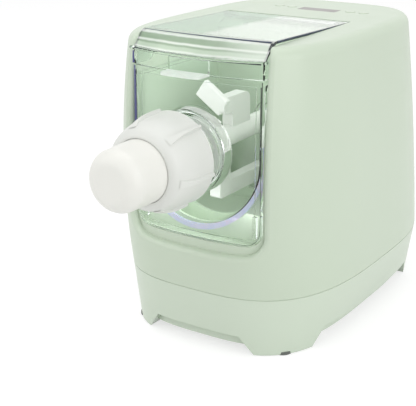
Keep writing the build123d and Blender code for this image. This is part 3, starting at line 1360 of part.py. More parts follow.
def power_board():
    """Upright circuit board beside the motor, standing in the base."""
    face = POWER_BOARD_X + BOARD_THICK
    board = box((POWER_BOARD_X, face), POWER_BOARD_YS, (FLOOR_Z + CLIP_FLOOR, POWER_BOARD_TOP))
    blocks = [box((face, face + out), ys, zs) for out, ys, zs in BOARD_BLOCKS]
    rounds = [rod_x(r, (face, face + out), y, z) for r, out, y, z in BOARD_ROUNDS]
    return board + blocks + rounds


def board_clips():
    """Slotted posts on the base that hold the power board."""
    clips = []
    x, far = POWER_BOARD_X, POWER_BOARD_X + BOARD_THICK
    for y in (POWER_BOARD_YS[0] + CLIP_LENGTH, POWER_BOARD_YS[1] - 2 * CLIP_LENGTH):
        post = box((x - CLIP_HALF, far + CLIP_HALF), (y, y + CLIP_LENGTH), (FLOOR_Z, CLIP_TOP))
        slot = box((x, far), (y - PAST, y + CLIP_LENGTH + PAST), (FLOOR_Z + CLIP_FLOOR, CLIP_TOP + PAST))
        clips.append(post - slot)
    return clips


# ---------------------------------------------------------------- export
def nodes():
    """Every sub-part by name."""
    parts = {
        "upper_housing": upper_housing(),
        "base_tray": base_tray(),
        "rubber_pads": rubber_pads(),
        "base_screws": base_screws(),
        "bay_liner": bay_liner(),
        "wall_seal": wall_seal(),
        "lid_switch": lid_switch(),
        "switch_plunger": switch_plunger(),
        "lid": lid(),
        "thumb_tab": thumb_tab(),
        "hinge_pin": hinge_pin(),
        "front_panel": front_panel(),
        "mixing_cup": mixing_cup(),
        "cup_seal": cup_seal(),
        "hub_seal": hub_seal(),
        "retaining_nut": retaining_nut(),
        "die_cap": die_cap(),
        "die_seal": die_seal(),
        "extruder_auger": extruder_auger(),
        "mixing_paddle": mixing_paddle(),
        "output_wheel": output_wheel(),
        "slow_pinion": slow_pinion(),
        "idler_wheel": idler_wheel(),
        "idler_shaft": idler_shaft(),
        "motor_pinion": motor_pinion(),
        "drive_shaft": drive_shaft(),
        "gearbox_plate": gearbox_plate(),
        "gearbox_cover": gearbox_cover(),
        "gearbox_standoffs": gearbox_standoffs(),
        "gearbox_screws": gearbox_screws(),
        "front_bearing": front_bearing(),
        "rear_bearing": rear_bearing(),
        "idler_bushes": idler_bushes(),
        "motor_can": motor_can(),
        "motor_end_cap": motor_end_cap(),
        "motor_magnets": motor_magnets(),
        "motor_rotor": motor_rotor(),
        "motor_shaft": motor_shaft(),
        "cooling_fan": cooling_fan(),
        "power_inlet": power_inlet(),
        "display_window": display_window(),
        "display_module": display_module(),
        "control_board": control_board(),
        "board_screws": board_screws(),
        "power_board": power_board(),
        "board_clips": board_clips(),
    }
    for i, (x, y) in enumerate(key_positions()):
        parts[f"key_{i + 1}"] = key(x, y)
    return parts


def joined(pieces):
    """One shape of all the solids of a sub-part that is made of several pieces."""
    return Compound([solid for piece in pieces for solid in piece.solids()])


def main():
    os.makedirs("parts", exist_ok=True)
    for name, part in nodes().items():
        shape = joined(part) if isinstance(part, list) else part
        export_step(to_origin * shape, f"parts/{name}.step")


if __name__ == "__main__":
    main()
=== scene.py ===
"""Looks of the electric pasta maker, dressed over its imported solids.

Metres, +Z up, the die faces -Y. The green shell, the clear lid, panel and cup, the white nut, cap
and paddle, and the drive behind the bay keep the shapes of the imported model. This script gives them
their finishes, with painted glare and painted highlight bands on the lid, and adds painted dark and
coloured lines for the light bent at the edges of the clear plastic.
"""

import math

import bmesh
import bpy
from mathutils import Matrix, Vector


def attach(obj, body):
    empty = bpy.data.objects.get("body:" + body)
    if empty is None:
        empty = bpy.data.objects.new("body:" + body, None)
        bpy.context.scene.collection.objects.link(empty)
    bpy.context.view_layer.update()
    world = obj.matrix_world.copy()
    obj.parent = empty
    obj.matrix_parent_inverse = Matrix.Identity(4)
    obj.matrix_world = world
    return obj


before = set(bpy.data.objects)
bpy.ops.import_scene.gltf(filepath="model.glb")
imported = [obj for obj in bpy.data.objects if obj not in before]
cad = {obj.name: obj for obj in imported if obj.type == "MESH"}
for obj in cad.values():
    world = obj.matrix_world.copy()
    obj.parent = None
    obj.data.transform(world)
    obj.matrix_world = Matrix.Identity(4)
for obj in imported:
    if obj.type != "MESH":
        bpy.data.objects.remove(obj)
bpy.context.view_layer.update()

MM = 0.001
SHIFT_Y = 52.95  # mm, how far the body's own centre line lies behind the middle of the whole machine
GRAIN_DEPTH = 0.0004  # m, depth of the moulded grain
FLOW_DEPTH = 0.002  # m, depth of the slow waves in clear plastic
RING_DEPTH = 0.0002  # m, depth of tool marks in metal
PASSED_LIGHT = (0.97, 0.985, 0.975, 1.0)  # what one clear wall lets through
LID_TOP_FRONT = -126.0  # mm, where the lid's flat top ends and its rolled front begins
LID_LINE_Y, LID_LINE_Z = -130.0, 262.2  # mm, place of the lid's top front line at its ends
LID_HALF = 61.1  # mm, half of the lid's width
LID_TOP_BOW = 3.2  # mm, how far the lid's top front line stands ahead in its middle
LID_END_X = 60.2  # mm, where the painted dark edge lines on the lid's ends run
LIP_FRONT, LIP_BOW_R = -156.2, 211.0  # mm, place and curve of the painted dark line under the lid's lip
LIP_Z = 248.5  # mm, height of that painted line
CORNER_X = -60.6  # mm, where the painted indigo edge lines of the lid and the panel run
PANEL_FRONT, PANEL_BOW_R = -150.2, 257.0  # mm, place and curve of the clear panel's front
PANEL_RIGHT, PANEL_BOTTOM = 59.5, 100.3  # mm, where the panel's painted dark edge line runs beside and below it
PANEL_ROUND = 12.6  # mm, radius of that line in the panel's lower corner
LID_TOP_LEAST = 0.2598  # m, the lid's flat top lies above this
LID_ROLL_LEAST = 0.2505  # m, the outside of the lid's rolled front lies above this
SHELF_TOP = 0.2384  # m, top of the thumb tab's shelf
BAND_FOOT, BAND_HEAD = 0.247, 0.2632  # m, heights between which the rolled front carries painted highlight and shade bands
GLARE_START, GLARE_FULL = -0.003, 0.008  # m, across the lid, where the painted glare begins and is full
PALER_START, PALER_FULL = 0.0, 0.065  # m, across the lid, where the painted highlight bands begin and end paling


def at(x, y, z):
    """A point of the body, in millimetres from its centre line, as a place in the frame."""
    return Vector((x, y + SHIFT_Y, z)) * MM


def srgb(r, g, b):
    """Linear colour of an 8-bit display colour."""

    def linear(c):
        c /= 255
        return c / 12.92 if c <= 0.04045 else ((c + 0.055) / 1.055) ** 2.4

    return (linear(r), linear(g), linear(b), 1.0)


# ---------------------------------------------------------------- finishes: shared effects
def socket(group, name, kind, output=False, value=None):
    """Adds a named input or output to a node group."""
    side = "OUTPUT" if output else "INPUT"
    made = group.interface.new_socket(name, in_out=side, socket_type=kind)
    if value is not None:
        made.default_value = value
    return made


def place(tree, kind, x, y, **settings):
    """Adds a node at a place in a tree, with its settings."""
    made = tree.nodes.new(kind)
    made.location = (x, y)
    for name, value in settings.items():
        setattr(made, name, value)
    return made


def join(tree, start, end):
    tree.links.new(start, end)


def tone_drift_group():
    """Slow change of shade that a moulding shows from gate to edge, as a colour."""
    group = bpy.data.node_groups.new("Tone Drift", "ShaderNodeTree")
    socket(group, "Color", "NodeSocketColor")
    socket(group, "Amount", "NodeSocketFloat", value=0.03)
    socket(group, "Scale", "NodeSocketFloat", value=9.0)
    socket(group, "Color", "NodeSocketColor", output=True)
    into = place(group, "NodeGroupInput", -800, 0)
    out = place(group, "NodeGroupOutput", 400, 0)
    where = place(group, "ShaderNodeTexCoord", -800, -260)
    cloud = place(group, "ShaderNodeTexNoise", -600, -200)
    cloud.inputs["Detail"].default_value = 3.0
    centred = place(group, "ShaderNodeMath", -400, -200, operation="SUBTRACT")
    centred.inputs[1].default_value = 0.5
    scaled = place(group, "ShaderNodeMath", -220, -200, operation="MULTIPLY")
    lifted = place(group, "ShaderNodeMath", -40, -200, operation="ADD")
    lifted.inputs[1].default_value = 1.0
    shade = place(group, "ShaderNodeHueSaturation", 160, 0)
    join(group, where.outputs["Object"], cloud.inputs["Vector"])
    join(group, into.outputs["Scale"], cloud.inputs["Scale"])
    join(group, cloud.outputs["Fac"], centred.inputs[0])
    join(group, centred.outputs[0], scaled.inputs[0])
    join(group, into.outputs["Amount"], scaled.inputs[1])
    join(group, scaled.outputs[0], lifted.inputs[0])
    join(group, lifted.outputs[0], shade.inputs["Value"])
    join(group, into.outputs["Color"], shade.inputs["Color"])
    join(group, shade.outputs["Color"], out.inputs["Color"])
    return group


def moulded_grain_group():
    """Fine spark-eroded grain of a moulded face: a height for bump and a matching roughness."""
    group = bpy.data.node_groups.new("Moulded Grain", "ShaderNodeTree")
    socket(group, "Scale", "NodeSocketFloat", value=1800.0)
    socket(group, "Roughness", "NodeSocketFloat", value=0.35)
    socket(group, "Spread", "NodeSocketFloat", value=0.08)
    socket(group, "Height", "NodeSocketFloat", output=True)
    socket(group, "Roughness", "NodeSocketFloat", output=True)
    into = place(group, "NodeGroupInput", -800, 0)
    out = place(group, "NodeGroupOutput", 500, 0)
    where = place(group, "ShaderNodeTexCoord", -800, -260)
    fine = place(group, "ShaderNodeTexNoise", -560, 60)
    fine.inputs["Detail"].default_value = 2.0
    broad = place(group, "ShaderNodeTexNoise", -560, -220)
    broad.inputs["Scale"].default_value = 35.0
    broad.inputs["Detail"].default_value = 4.0
    centred = place(group, "ShaderNodeMath", -340, -220, operation="SUBTRACT")
    centred.inputs[1].default_value = 0.5
    scaled = place(group, "ShaderNodeMath", -160, -220, operation="MULTIPLY")
    total = place(group, "ShaderNodeMath", 40, -160, operation="ADD", use_clamp=True)
    join(group, where.outputs["Object"], fine.inputs["Vector"])
    join(group, where.outputs["Object"], broad.inputs["Vector"])
    join(group, into.outputs["Scale"], fine.inputs["Scale"])
    join(group, broad.outputs["Fac"], centred.inputs[0])
    join(group, centred.outputs[0], scaled.inputs[0])
    join(group, into.outputs["Spread"], scaled.inputs[1])
    join(group, scaled.outputs[0], total.inputs[0])
    join(group, into.outputs["Roughness"], total.inputs[1])
    join(group, fine.outputs["Fac"], out.inputs["Height"])
    join(group, total.outputs[0], out.inputs["Roughness"])
    return group


def wiping_marks_group():
    """Fine scratches of daily wiping, as a mask."""
    group = bpy.data.node_groups.new("Wiping Marks", "ShaderNodeTree")
    socket(group, "Scale", "NodeSocketFloat", value=60.0)
    socket(group, "Amount", "NodeSocketFloat", value=0.5)
    socket(group, "Mask", "NodeSocketFloat", output=True)
    into = place(group, "NodeGroupInput", -800, 0)
    out = place(group, "NodeGroupOutput", 500, 0)
    where = place(group, "ShaderNodeTexCoord", -800, -260)
    turned = place(group, "ShaderNodeMapping", -620, -260)
    turned.inputs["Rotation"].default_value = (0.4, 0.7, 0.3)
    turned.inputs["Scale"].default_value = (1.0, 0.06, 1.0)
    lines = place(group, "ShaderNodeTexNoise", -420, -200)
    lines.inputs["Detail"].default_value = 6.0
    lines.inputs["Roughness"].default_value = 0.7
    picked = place(group, "ShaderNodeMapRange", -200, -200)
    picked.inputs["From Min"].default_value = 0.58
    picked.inputs["From Max"].default_value = 0.68
    scaled = place(group, "ShaderNodeMath", 60, -120, operation="MULTIPLY")
    join(group, where.outputs["Object"], turned.inputs["Vector"])
    join(group, turned.outputs["Vector"], lines.inputs["Vector"])
    join(group, into.outputs["Scale"], lines.inputs["Scale"])
    join(group, lines.outputs["Fac"], picked.inputs["Value"])
    join(group, picked.outputs["Result"], scaled.inputs[0])
    join(group, into.outputs["Amount"], scaled.inputs[1])
    join(group, scaled.outputs[0], out.inputs["Mask"])
    return group


def turning_marks_group():
    """Rings that a lathe leaves round an axis along Y, as a height."""
    group = bpy.data.node_groups.new("Turning Marks", "ShaderNodeTree")
    socket(group, "Scale", "NodeSocketFloat", value=900.0)
    socket(group, "Height", "NodeSocketFloat", output=True)
    into = place(group, "NodeGroupInput", -600, 0)
    out = place(group, "NodeGroupOutput", 300, 0)
    where = place(group, "ShaderNodeTexCoord", -600, -260)
    rings = place(group, "ShaderNodeTexWave", -200, -100, wave_type="BANDS", bands_direction="Y")
    rings.inputs["Distortion"].default_value = 1.5
    rings.inputs["Detail"].default_value = 3.0
    join(group, where.outputs["Object"], rings.inputs["Vector"])
    join(group, into.outputs["Scale"], rings.inputs["Scale"])
    join(group, rings.outputs["Fac"], out.inputs["Height"])
    return group


def stepped(tree, x, y, low, high, upward=True):
    """Smooth step of a value between two limits."""
    step = place(tree, "ShaderNodeMapRange", x, y, interpolation_type="SMOOTHSTEP")
    step.inputs["From Min"].default_value = low
    step.inputs["From Max"].default_value = high
    step.inputs["To Min"].default_value = 0.0 if upward else 1.0
    step.inputs["To Max"].default_value = 1.0 if upward else 0.0
    return step


def product(tree, x, y, first, second):
    """Product of two values."""
    made = place(tree, "ShaderNodeMath", x, y, operation="MULTIPLY", use_clamp=True)
    join(tree, first, made.inputs[0])
    join(tree, second, made.inputs[1])
    return made.outputs[0]


def shade_between(tree, x, y, share, first, second):
    """Colour that lies between two others by a share."""
    made = place(tree, "ShaderNodeMix", x, y, data_type="RGBA")
    join(tree, share, made.inputs["Factor"])
    join(tree, first, made.inputs["A"])
    join(tree, second, made.inputs["B"])
    return made.outputs["Result"]


def lid_glare_bands_group():
    """Tints of the lid's outside: clear, painted white glare past its middle, and painted highlight
    and shade bands on its rolled front.
    """
    group = bpy.data.node_groups.new("Lid Painted Glare And Bands", "ShaderNodeTree")
    socket(group, "Clear", "NodeSocketColor", value=(0.7, 0.8, 0.7, 1.0))
    socket(group, "Misted", "NodeSocketColor", value=(1.0, 1.0, 1.0, 1.0))
    socket(group, "Color", "NodeSocketColor", output=True)
    into = place(group, "NodeGroupInput", -1300, 0)
    out = place(group, "NodeGroupOutput", 1100, 0)
    where = place(group, "ShaderNodeTexCoord", -1300, -300)
    apart = place(group, "ShaderNodeSeparateXYZ", -1100, -300)
    join(group, where.outputs["Object"], apart.inputs[0])
    # Painted white glare, standing for a reflection, covers the flat top from a wavy line onward, and
    # is broken up by a fine speckle.
    wavy = place(group, "ShaderNodeTexNoise", -1100, 300)
    wavy.inputs["Scale"].default_value = 60.0
    wavy.inputs["Detail"].default_value = 2.0
    join(group, where.outputs["Object"], wavy.inputs["Vector"])
    shaken = place(group, "ShaderNodeMath", -900, 300, operation="MULTIPLY_ADD")
    shaken.inputs[1].default_value = 0.012
    join(group, wavy.outputs["Fac"], shaken.inputs[0])
    join(group, apart.outputs["X"], shaken.inputs[2])
    beyond = stepped(group, -700, 300, GLARE_START, GLARE_FULL)
    join(group, shaken.outputs[0], beyond.inputs["Value"])
    speckle = place(group, "ShaderNodeTexNoise", -700, 560)
    speckle.inputs["Scale"].default_value = 420.0
    speckle.inputs["Detail"].default_value = 5.0
    speckle.inputs["Roughness"].default_value = 0.7
    join(group, where.outputs["Object"], speckle.inputs["Vector"])
    glare_speckle = stepped(group, -500, 560, 0.38, 0.62)
    glare_speckle.inputs["To Min"].default_value = 0.62
    join(group, speckle.outputs["Fac"], glare_speckle.inputs["Value"])
    glare_share = product(group, -120, 300, beyond.outputs["Result"], glare_speckle.outputs["Result"])
    flat = shade_between(group, 240, 300, glare_share, into.outputs["Clear"], into.outputs["Misted"])
    # The rolled front takes painted highlight bands and darker green bands of painted shade by
    # height, painted paler towards one end.
    up = place(group, "ShaderNodeMapRange", -700, -300)
    up.inputs["From Min"].default_value = BAND_FOOT
    up.inputs["From Max"].default_value = BAND_HEAD
    drift = place(group, "ShaderNodeMath", -900, -300, operation="MULTIPLY_ADD")
    drift.inputs[1].default_value = 0.0012
    join(group, wavy.outputs["Fac"], drift.inputs[0])
    join(group, apart.outputs["Z"], drift.inputs[2])
    join(group, drift.outputs[0], up.inputs["Value"])
    bands = place(group, "ShaderNodeValToRGB", -500, -300)
    ramp = bands.color_ramp
    ramp.interpolation = "EASE"
    # Painted highlight white, and greens of painted shade between the highlights.
    pale, mid, green = (1.0, 1.0, 1.0), (0.62, 0.71, 0.60), (0.33, 0.42, 0.32)
    stops = (
        (0.06, mid), (0.2, mid), (0.28, pale), (0.36, mid), (0.43, mid), (0.52, green),
        (0.6, pale), (0.68, green), (0.84, green), (0.91, pale), (1.0, mid),
    )
    ramp.elements[0].position, ramp.elements[1].position = stops[0][0], stops[-1][0]
    for position, _ in stops[1:-1]:
        ramp.elements.new(position)
    for element, (_, colour) in zip(ramp.elements, stops):
        element.color = (*colour, 1.0)
    join(group, up.outputs["Result"], bands.inputs["Fac"])
    # The bands are painted paler towards the lid's right end.
    rightward = stepped(group, -500, -760, PALER_START, PALER_FULL)
    rightward.inputs["To Max"].default_value = 0.6
    join(group, apart.outputs["X"], rightward.inputs["Value"])
    paler = rightward.outputs["Result"]
    rolled = shade_between(group, 240, -300, paler, bands.outputs["Color"], into.outputs["Misted"])
    # A place on the lid belongs to the flat top or to the rolled front by how far ahead it lies.
    roll_start, flat_end = at(0, LID_TOP_FRONT - 2.5, 0).y, at(0, LID_TOP_FRONT, 0).y
    ahead = stepped(group, -500, -560, roll_start, flat_end, upward=False)
    join(group, apart.outputs["Y"], ahead.inputs["Value"])
    colour = shade_between(group, 700, 0, ahead.outputs["Result"], flat, rolled)
    join(group, colour, out.inputs["Color"])
    return group


TONE_DRIFT = tone_drift_group()
MOULDED_GRAIN = moulded_grain_group()
WIPING_MARKS = wiping_marks_group()
TURNING_MARKS = turning_marks_group()
LID_GLARE_BANDS = lid_glare_bands_group()


def effect(tree, group, x, y, **values):
    """Places a shared effect in a material, with its own values."""
    made = place(tree, "ShaderNodeGroup", x, y, node_tree=group)
    for name, value in values.items():
        made.inputs[name].default_value = value
    return made


def relief_into(tree, shader, height, strength, distance):
    """Lets a height that changes over the surface tilt its normals."""
    relief = place(tree, "ShaderNodeBump", -160, -360)
    relief.inputs["Strength"].default_value = strength
    relief.inputs["Distance"].default_value = distance
    join(tree, height, relief.inputs["Height"])
    join(tree, relief.outputs["Normal"], shader.inputs["Normal"])


def start_material(name):
    """A new material with its Principled shader and output."""
    material = bpy.data.materials.new(name)
    material.use_nodes = True
    tree = material.node_tree
    tree.nodes.clear()
    shader = place(tree, "ShaderNodeBsdfPrincipled", 300, 0)
    out = place(tree, "ShaderNodeOutputMaterial", 900, 0)
    join(tree, shader.outputs["BSDF"], out.inputs["Surface"])
    return material, tree, shader, out


def moulded_plastic(name, colour, roughness=0.35, grain=1800.0, bump=0.03, drift=0.03, **sockets):
    """Opaque moulded plastic with drift of shade, fine grain and wiping marks."""
    material, tree, shader, _ = start_material(name)
    drifted = effect(tree, TONE_DRIFT, -500, 200, Color=colour, Amount=drift, Scale=7.0)
    grained = effect(tree, MOULDED_GRAIN, -500, -40, Scale=grain, Roughness=roughness, Spread=0.10)
    marks = effect(tree, WIPING_MARKS, -500, -300, Scale=70.0, Amount=0.06)
    total = place(tree, "ShaderNodeMath", -160, -160, operation="ADD", use_clamp=True)
    join(tree, drifted.outputs["Color"], shader.inputs["Base Color"])
    join(tree, grained.outputs["Roughness"], total.inputs[0])
    join(tree, marks.outputs["Mask"], total.inputs[1])
    join(tree, total.outputs[0], shader.inputs["Roughness"])
    relief_into(tree, shader, grained.outputs["Height"], bump, GRAIN_DEPTH)
    for socket_name, value in sockets.items():
        shader.inputs[socket_name.replace("_", " ")].default_value = value
    return material


def clear_plastic(name, colour, roughness=0.03, ior=1.5, body=0.0, glare_tint=None):
    """Clear moulding: slightly uneven, and open to the light that passes to what is behind it."""
    material, tree, shader, out = start_material(name)
    # A glare tint swaps the drift of tint for the lid's painted glare and painted bands.
    if glare_tint is None:
        drifted = effect(tree, TONE_DRIFT, -500, 200, Color=colour, Amount=0.01, Scale=14.0)
    else:
        drifted = effect(tree, LID_GLARE_BANDS, -500, 200, Clear=colour, Misted=glare_tint)
    marks = effect(tree, WIPING_MARKS, -500, -120, Scale=50.0, Amount=0.05)
    total = place(tree, "ShaderNodeMath", -160, -120, operation="ADD", use_clamp=True)
    total.inputs[1].default_value = roughness
    where = place(tree, "ShaderNodeTexCoord", -760, -360)
    flow = place(tree, "ShaderNodeTexNoise", -500, -360)
    flow.inputs["Scale"].default_value = 28.0
    flow.inputs["Detail"].default_value = 1.0
    shader.inputs["Transmission Weight"].default_value = 1.0 - body
    shader.inputs["IOR"].default_value = ior
    passing = place(tree, "ShaderNodeLightPath", 0, 420)
    either = place(tree, "ShaderNodeMath", 300, 360, operation="MAXIMUM")
    open_way = place(tree, "ShaderNodeBsdfTransparent", 300, 180)
    open_way.inputs["Color"].default_value = PASSED_LIGHT
    mix = place(tree, "ShaderNodeMixShader", 660, 60)
    join(tree, drifted.outputs["Color"], shader.inputs["Base Color"])
    join(tree, marks.outputs["Mask"], total.inputs[0])
    join(tree, total.outputs[0], shader.inputs["Roughness"])
    join(tree, where.outputs["Object"], flow.inputs["Vector"])
    relief_into(tree, shader, flow.outputs["Fac"], 0.02, FLOW_DEPTH)
    join(tree, passing.outputs["Is Shadow Ray"], either.inputs[0])
    join(tree, passing.outputs["Is Diffuse Ray"], either.inputs[1])
    join(tree, either.outputs[0], mix.inputs["Fac"])
    join(tree, shader.outputs["BSDF"], mix.inputs[1])
    join(tree, open_way.outputs["BSDF"], mix.inputs[2])
    join(tree, mix.outputs["Shader"], out.inputs["Surface"])
    return material


def metal(name, colour, roughness=0.3, marks=900.0, bump=0.05, drift=0.08):
    """Worked metal with its tool marks."""
    material, tree, shader, _ = start_material(name)
    drifted = effect(tree, TONE_DRIFT, -500, 200, Color=colour, Amount=drift, Scale=40.0)
    grained = effect(tree, MOULDED_GRAIN, -500, -40, Scale=2500.0, Roughness=roughness, Spread=0.2)
    rings = effect(tree, TURNING_MARKS, -500, -300, Scale=marks)
    shader.inputs["Metallic"].default_value = 1.0
    join(tree, drifted.outputs["Color"], shader.inputs["Base Color"])
    join(tree, grained.outputs["Roughness"], shader.inputs["Roughness"])
    relief_into(tree, shader, rings.outputs["Height"], bump, RING_DEPTH)
    return material


# ---------------------------------------------------------------- finishes: the machine's own
shell_green = moulded_plastic(
    "shell_green", srgb(194, 207, 188), roughness=0.34, bump=0.02, drift=0.02
)
base_green = moulded_plastic(
    "base_green", srgb(200, 212, 195), roughness=0.34, bump=0.02, drift=0.02
)
bay_green = moulded_plastic("bay_green", srgb(206, 219, 199), roughness=0.30, bump=0.02, drift=0.03)
lid_clear = clear_plastic("lid_clear", srgb(250, 254, 252), ior=1.3)
# White of the painted glare on the lid's flat top and of its palest painted highlight bands.
GLARE_WHITE = srgb(255, 255, 255)
# The flat top's clear part is tinted a darker green than the rest of the lid, as painted shade, under
# painted white glare.
lid_painted_glare = clear_plastic("lid_painted_glare", srgb(162, 196, 167), ior=1.3, body=0.12, glare_tint=GLARE_WHITE)
# The rolled front carries painted highlight bands and darker green bands of painted shade.
lid_painted_bands = clear_plastic("lid_painted_bands", srgb(200, 226, 200), ior=1.3, body=0.5, glare_tint=GLARE_WHITE)
panel_clear = clear_plastic("panel_clear", srgb(250, 254, 252), ior=1.35)
cup_clear = clear_plastic("cup_clear", srgb(251, 254, 252), roughness=0.05, ior=1.13)
tab_frosted = clear_plastic("tab_frosted", srgb(238, 244, 238), roughness=0.3, body=0.5)
seal_lavender = moulded_plastic(
    "seal_lavender", srgb(196, 197, 228), roughness=0.4, Subsurface_Weight=0.3
)
# Colours of painted lines that stand for light bent and shaded at the clear plastic's edges.
painted_edge_navy = moulded_plastic("painted_edge_navy", srgb(44, 56, 78), roughness=0.3, grain=900.0, drift=0.2)
painted_edge_indigo = moulded_plastic(
    "painted_edge_indigo", srgb(84, 86, 134), roughness=0.4, grain=900.0, drift=0.1
)
painted_edge_moss = moulded_plastic("painted_edge_moss", srgb(84, 98, 82), roughness=0.35, grain=900.0, drift=0.2)
painted_edge_black = moulded_plastic("painted_edge_black", srgb(36, 44, 46), roughness=0.35, grain=900.0, drift=0.2)
nut_white = moulded_plastic("nut_white", srgb(215, 217, 212), roughness=0.38, bump=0.03, drift=0.01)
cap_white = moulded_plastic("cap_white", srgb(227, 227, 221), roughness=0.36, bump=0.02, drift=0.01)
paddle_white = moulded_plastic("paddle_white", srgb(225, 226, 222), roughness=0.34, drift=0.01)
lens_grey = moulded_plastic("lens_grey", srgb(132, 127, 124), roughness=0.3, bump=0.0, drift=0.02)
key_green = moulded_plastic("key_green", srgb(196, 208, 189), roughness=0.3, drift=0.02)
pad_rubber = moulded_plastic(
    "pad_rubber", srgb(98, 102, 98), roughness=0.8, grain=900.0, bump=0.15, drift=0.08
)
silicone_white = moulded_plastic(
    "silicone_white", srgb(226, 228, 224), roughness=0.5, Subsurface_Weight=0.2
)
gear_nylon = moulded_plastic("gear_nylon", srgb(226, 220, 200), roughness=0.45, drift=0.04)
black_plastic = moulded_plastic(
    "black_plastic", srgb(38, 38, 40), roughness=0.45, bump=0.08, drift=0.1
)
grey_plastic = moulded_plastic(
    "grey_plastic", srgb(120, 124, 126), roughness=0.5, bump=0.06, drift=0.05
)
board_green = moulded_plastic(
    "board_green", srgb(38, 92, 62), roughness=0.35, grain=500.0, bump=0.1, drift=0.2
)
plate_steel = metal("plate_steel", srgb(176, 178, 180), roughness=0.42)
bright_steel = metal("bright_steel", srgb(206, 206, 204), roughness=0.22)
can_steel = metal("can_steel", srgb(158, 160, 164), roughness=0.38)
magnet_grey = metal("magnet_grey", srgb(96, 98, 102), roughness=0.55)
bush_bronze = metal("bush_bronze", srgb(186, 136, 82), roughness=0.35)
winding_copper = metal("winding_copper", srgb(190, 112, 74), roughness=0.32)

FINISH = {
    "upper_housing": shell_green,
    "base_tray": base_green,
    "rubber_pads": pad_rubber,
    "base_screws": bright_steel,
    "bay_liner": bay_green,
    "wall_seal": silicone_white,
    "lid_switch": black_plastic,
    "switch_plunger": grey_plastic,
    "lid": lid_clear,
    "thumb_tab": lid_clear,
    "hinge_pin": bright_steel,
    "front_panel": panel_clear,
    "mixing_cup": cup_clear,
    "cup_seal": seal_lavender,
    "hub_seal": silicone_white,
    "retaining_nut": nut_white,
    "die_cap": cap_white,
    "die_seal": silicone_white,
    "extruder_auger": paddle_white,
    "mixing_paddle": paddle_white,
    "output_wheel": gear_nylon,
    "slow_pinion": bright_steel,
    "idler_wheel": gear_nylon,
    "idler_shaft": bright_steel,
    "motor_pinion": bright_steel,
    "drive_shaft": bright_steel,
    "gearbox_plate": plate_steel,
    "gearbox_cover": plate_steel,
    "gearbox_standoffs": bright_steel,
    "gearbox_screws": bright_steel,
    "front_bearing": bright_steel,
    "rear_bearing": bright_steel,
    "idler_bushes": bush_bronze,
    "motor_can": can_steel,
    "motor_end_cap": black_plastic,
    "motor_magnets": magnet_grey,
    "motor_rotor": winding_copper,
    "motor_shaft": bright_steel,
    "cooling_fan": grey_plastic,
    "power_inlet": black_plastic,
    "display_window": lens_grey,
    "display_module": grey_plastic,
    "control_board": board_green,
    "board_screws": bright_steel,
    "power_board": board_green,
    "board_clips": grey_plastic,
    "key_1": key_green,
    "key_2": key_green,
    "key_3": key_green,
    "key_4": key_green,
}
for name, material in FINISH.items():
    mesh = cad[name].data
    mesh.materials.clear()
    mesh.materials.append(material)


def finish_part_of(name, material, belongs):
    """Gives some faces of a node a second finish, picked by their middle and normal."""
    mesh = cad[name].data
    mesh.materials.append(material)
    for face in mesh.polygons:
        if belongs(face.center, face.normal):
            face.material_index = len(mesh.materials) - 1


def on_lid_top(middle, normal):
    """Whether a face of the lid is on its flat top."""
    return normal.z > 0.9 and middle.z > LID_TOP_LEAST and middle.y > at(0, LID_TOP_FRONT, 0).y


def on_lid_roll(middle, normal):
    """Whether a face of the lid is on the outside of its rolled front."""
    ahead = middle.y < at(0, LID_TOP_FRONT, 0).y
    return ahead and middle.z > LID_ROLL_LEAST and normal.z - normal.y > 0.4


# The flat top takes the painted glare, the rolled front the painted highlight and shade bands.
finish_part_of("lid", lid_painted_glare, on_lid_top)
finish_part_of("lid", lid_painted_bands, on_lid_roll)
finish_part_of("thumb_tab", tab_frosted, lambda middle, normal: middle.z < SHELF_TOP)


# ---------------------------------------------------------------- small pieces
def add_piece(name, form, body, material):
    """Makes an object of a bmesh, smooths it, and lets it move with one of the machine's bodies."""
    mesh = bpy.data.meshes.new(name)
    form.to_mesh(mesh)
    form.free()
    mesh.materials.append(material)
    for face in mesh.polygons:
        face.use_smooth = True
    piece = bpy.data.objects.new(name, mesh)
    bpy.context.scene.collection.objects.link(piece)
    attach(piece, body)
    return piece


def cord_along(name, points, radii, body, material, sides=8, flat=1.0):
    """Thin round bead along a line of points, in millimetres, with its own radius at each point."""
    form = bmesh.new()
    places = [at(*point) for point in points]
    rings = []
    for i, spot in enumerate(places):
        way = (places[min(i + 1, len(places) - 1)] - places[max(i - 1, 0)]).normalized()
        side = way.cross(Vector((0, 0, 1)))
        side = side.normalized() if side.length > 0.01 else Vector((1, 0, 0))
        over = side.cross(way)
        ring = []
        for k in range(sides):
            turn = 2 * math.pi * k / sides
            offset = side * math.cos(turn) + over * math.sin(turn) * flat
            ring.append(form.verts.new(spot + offset * radii[i] * MM))
        rings.append(ring)
    for first, second in zip(rings, rings[1:]):
        for k in range(sides):
            form.faces.new((first[k], first[(k + 1) % sides], second[(k + 1) % sides], second[k]))
    form.faces.new(tuple(reversed(rings[0])))
    form.faces.new(tuple(rings[-1]))
    bmesh.ops.recalc_face_normals(form, faces=form.faces)
    return add_piece(name, form, body, material)


def spread(low, high, count):
    """Evenly spaced values from one to another."""
    return [low + (high - low) * i / (count - 1) for i in range(count)]


def bowed(x, front, radius):
    """Where a front of a given curve lies at one place across its width."""
    return front + radius - math.sqrt(radius**2 - x * x)


def lid_top_front(x):
    """Where the lid's top front line lies at one place across its width."""
    return LID_LINE_Y - LID_TOP_BOW * (1 - (x / LID_HALF) ** 2)


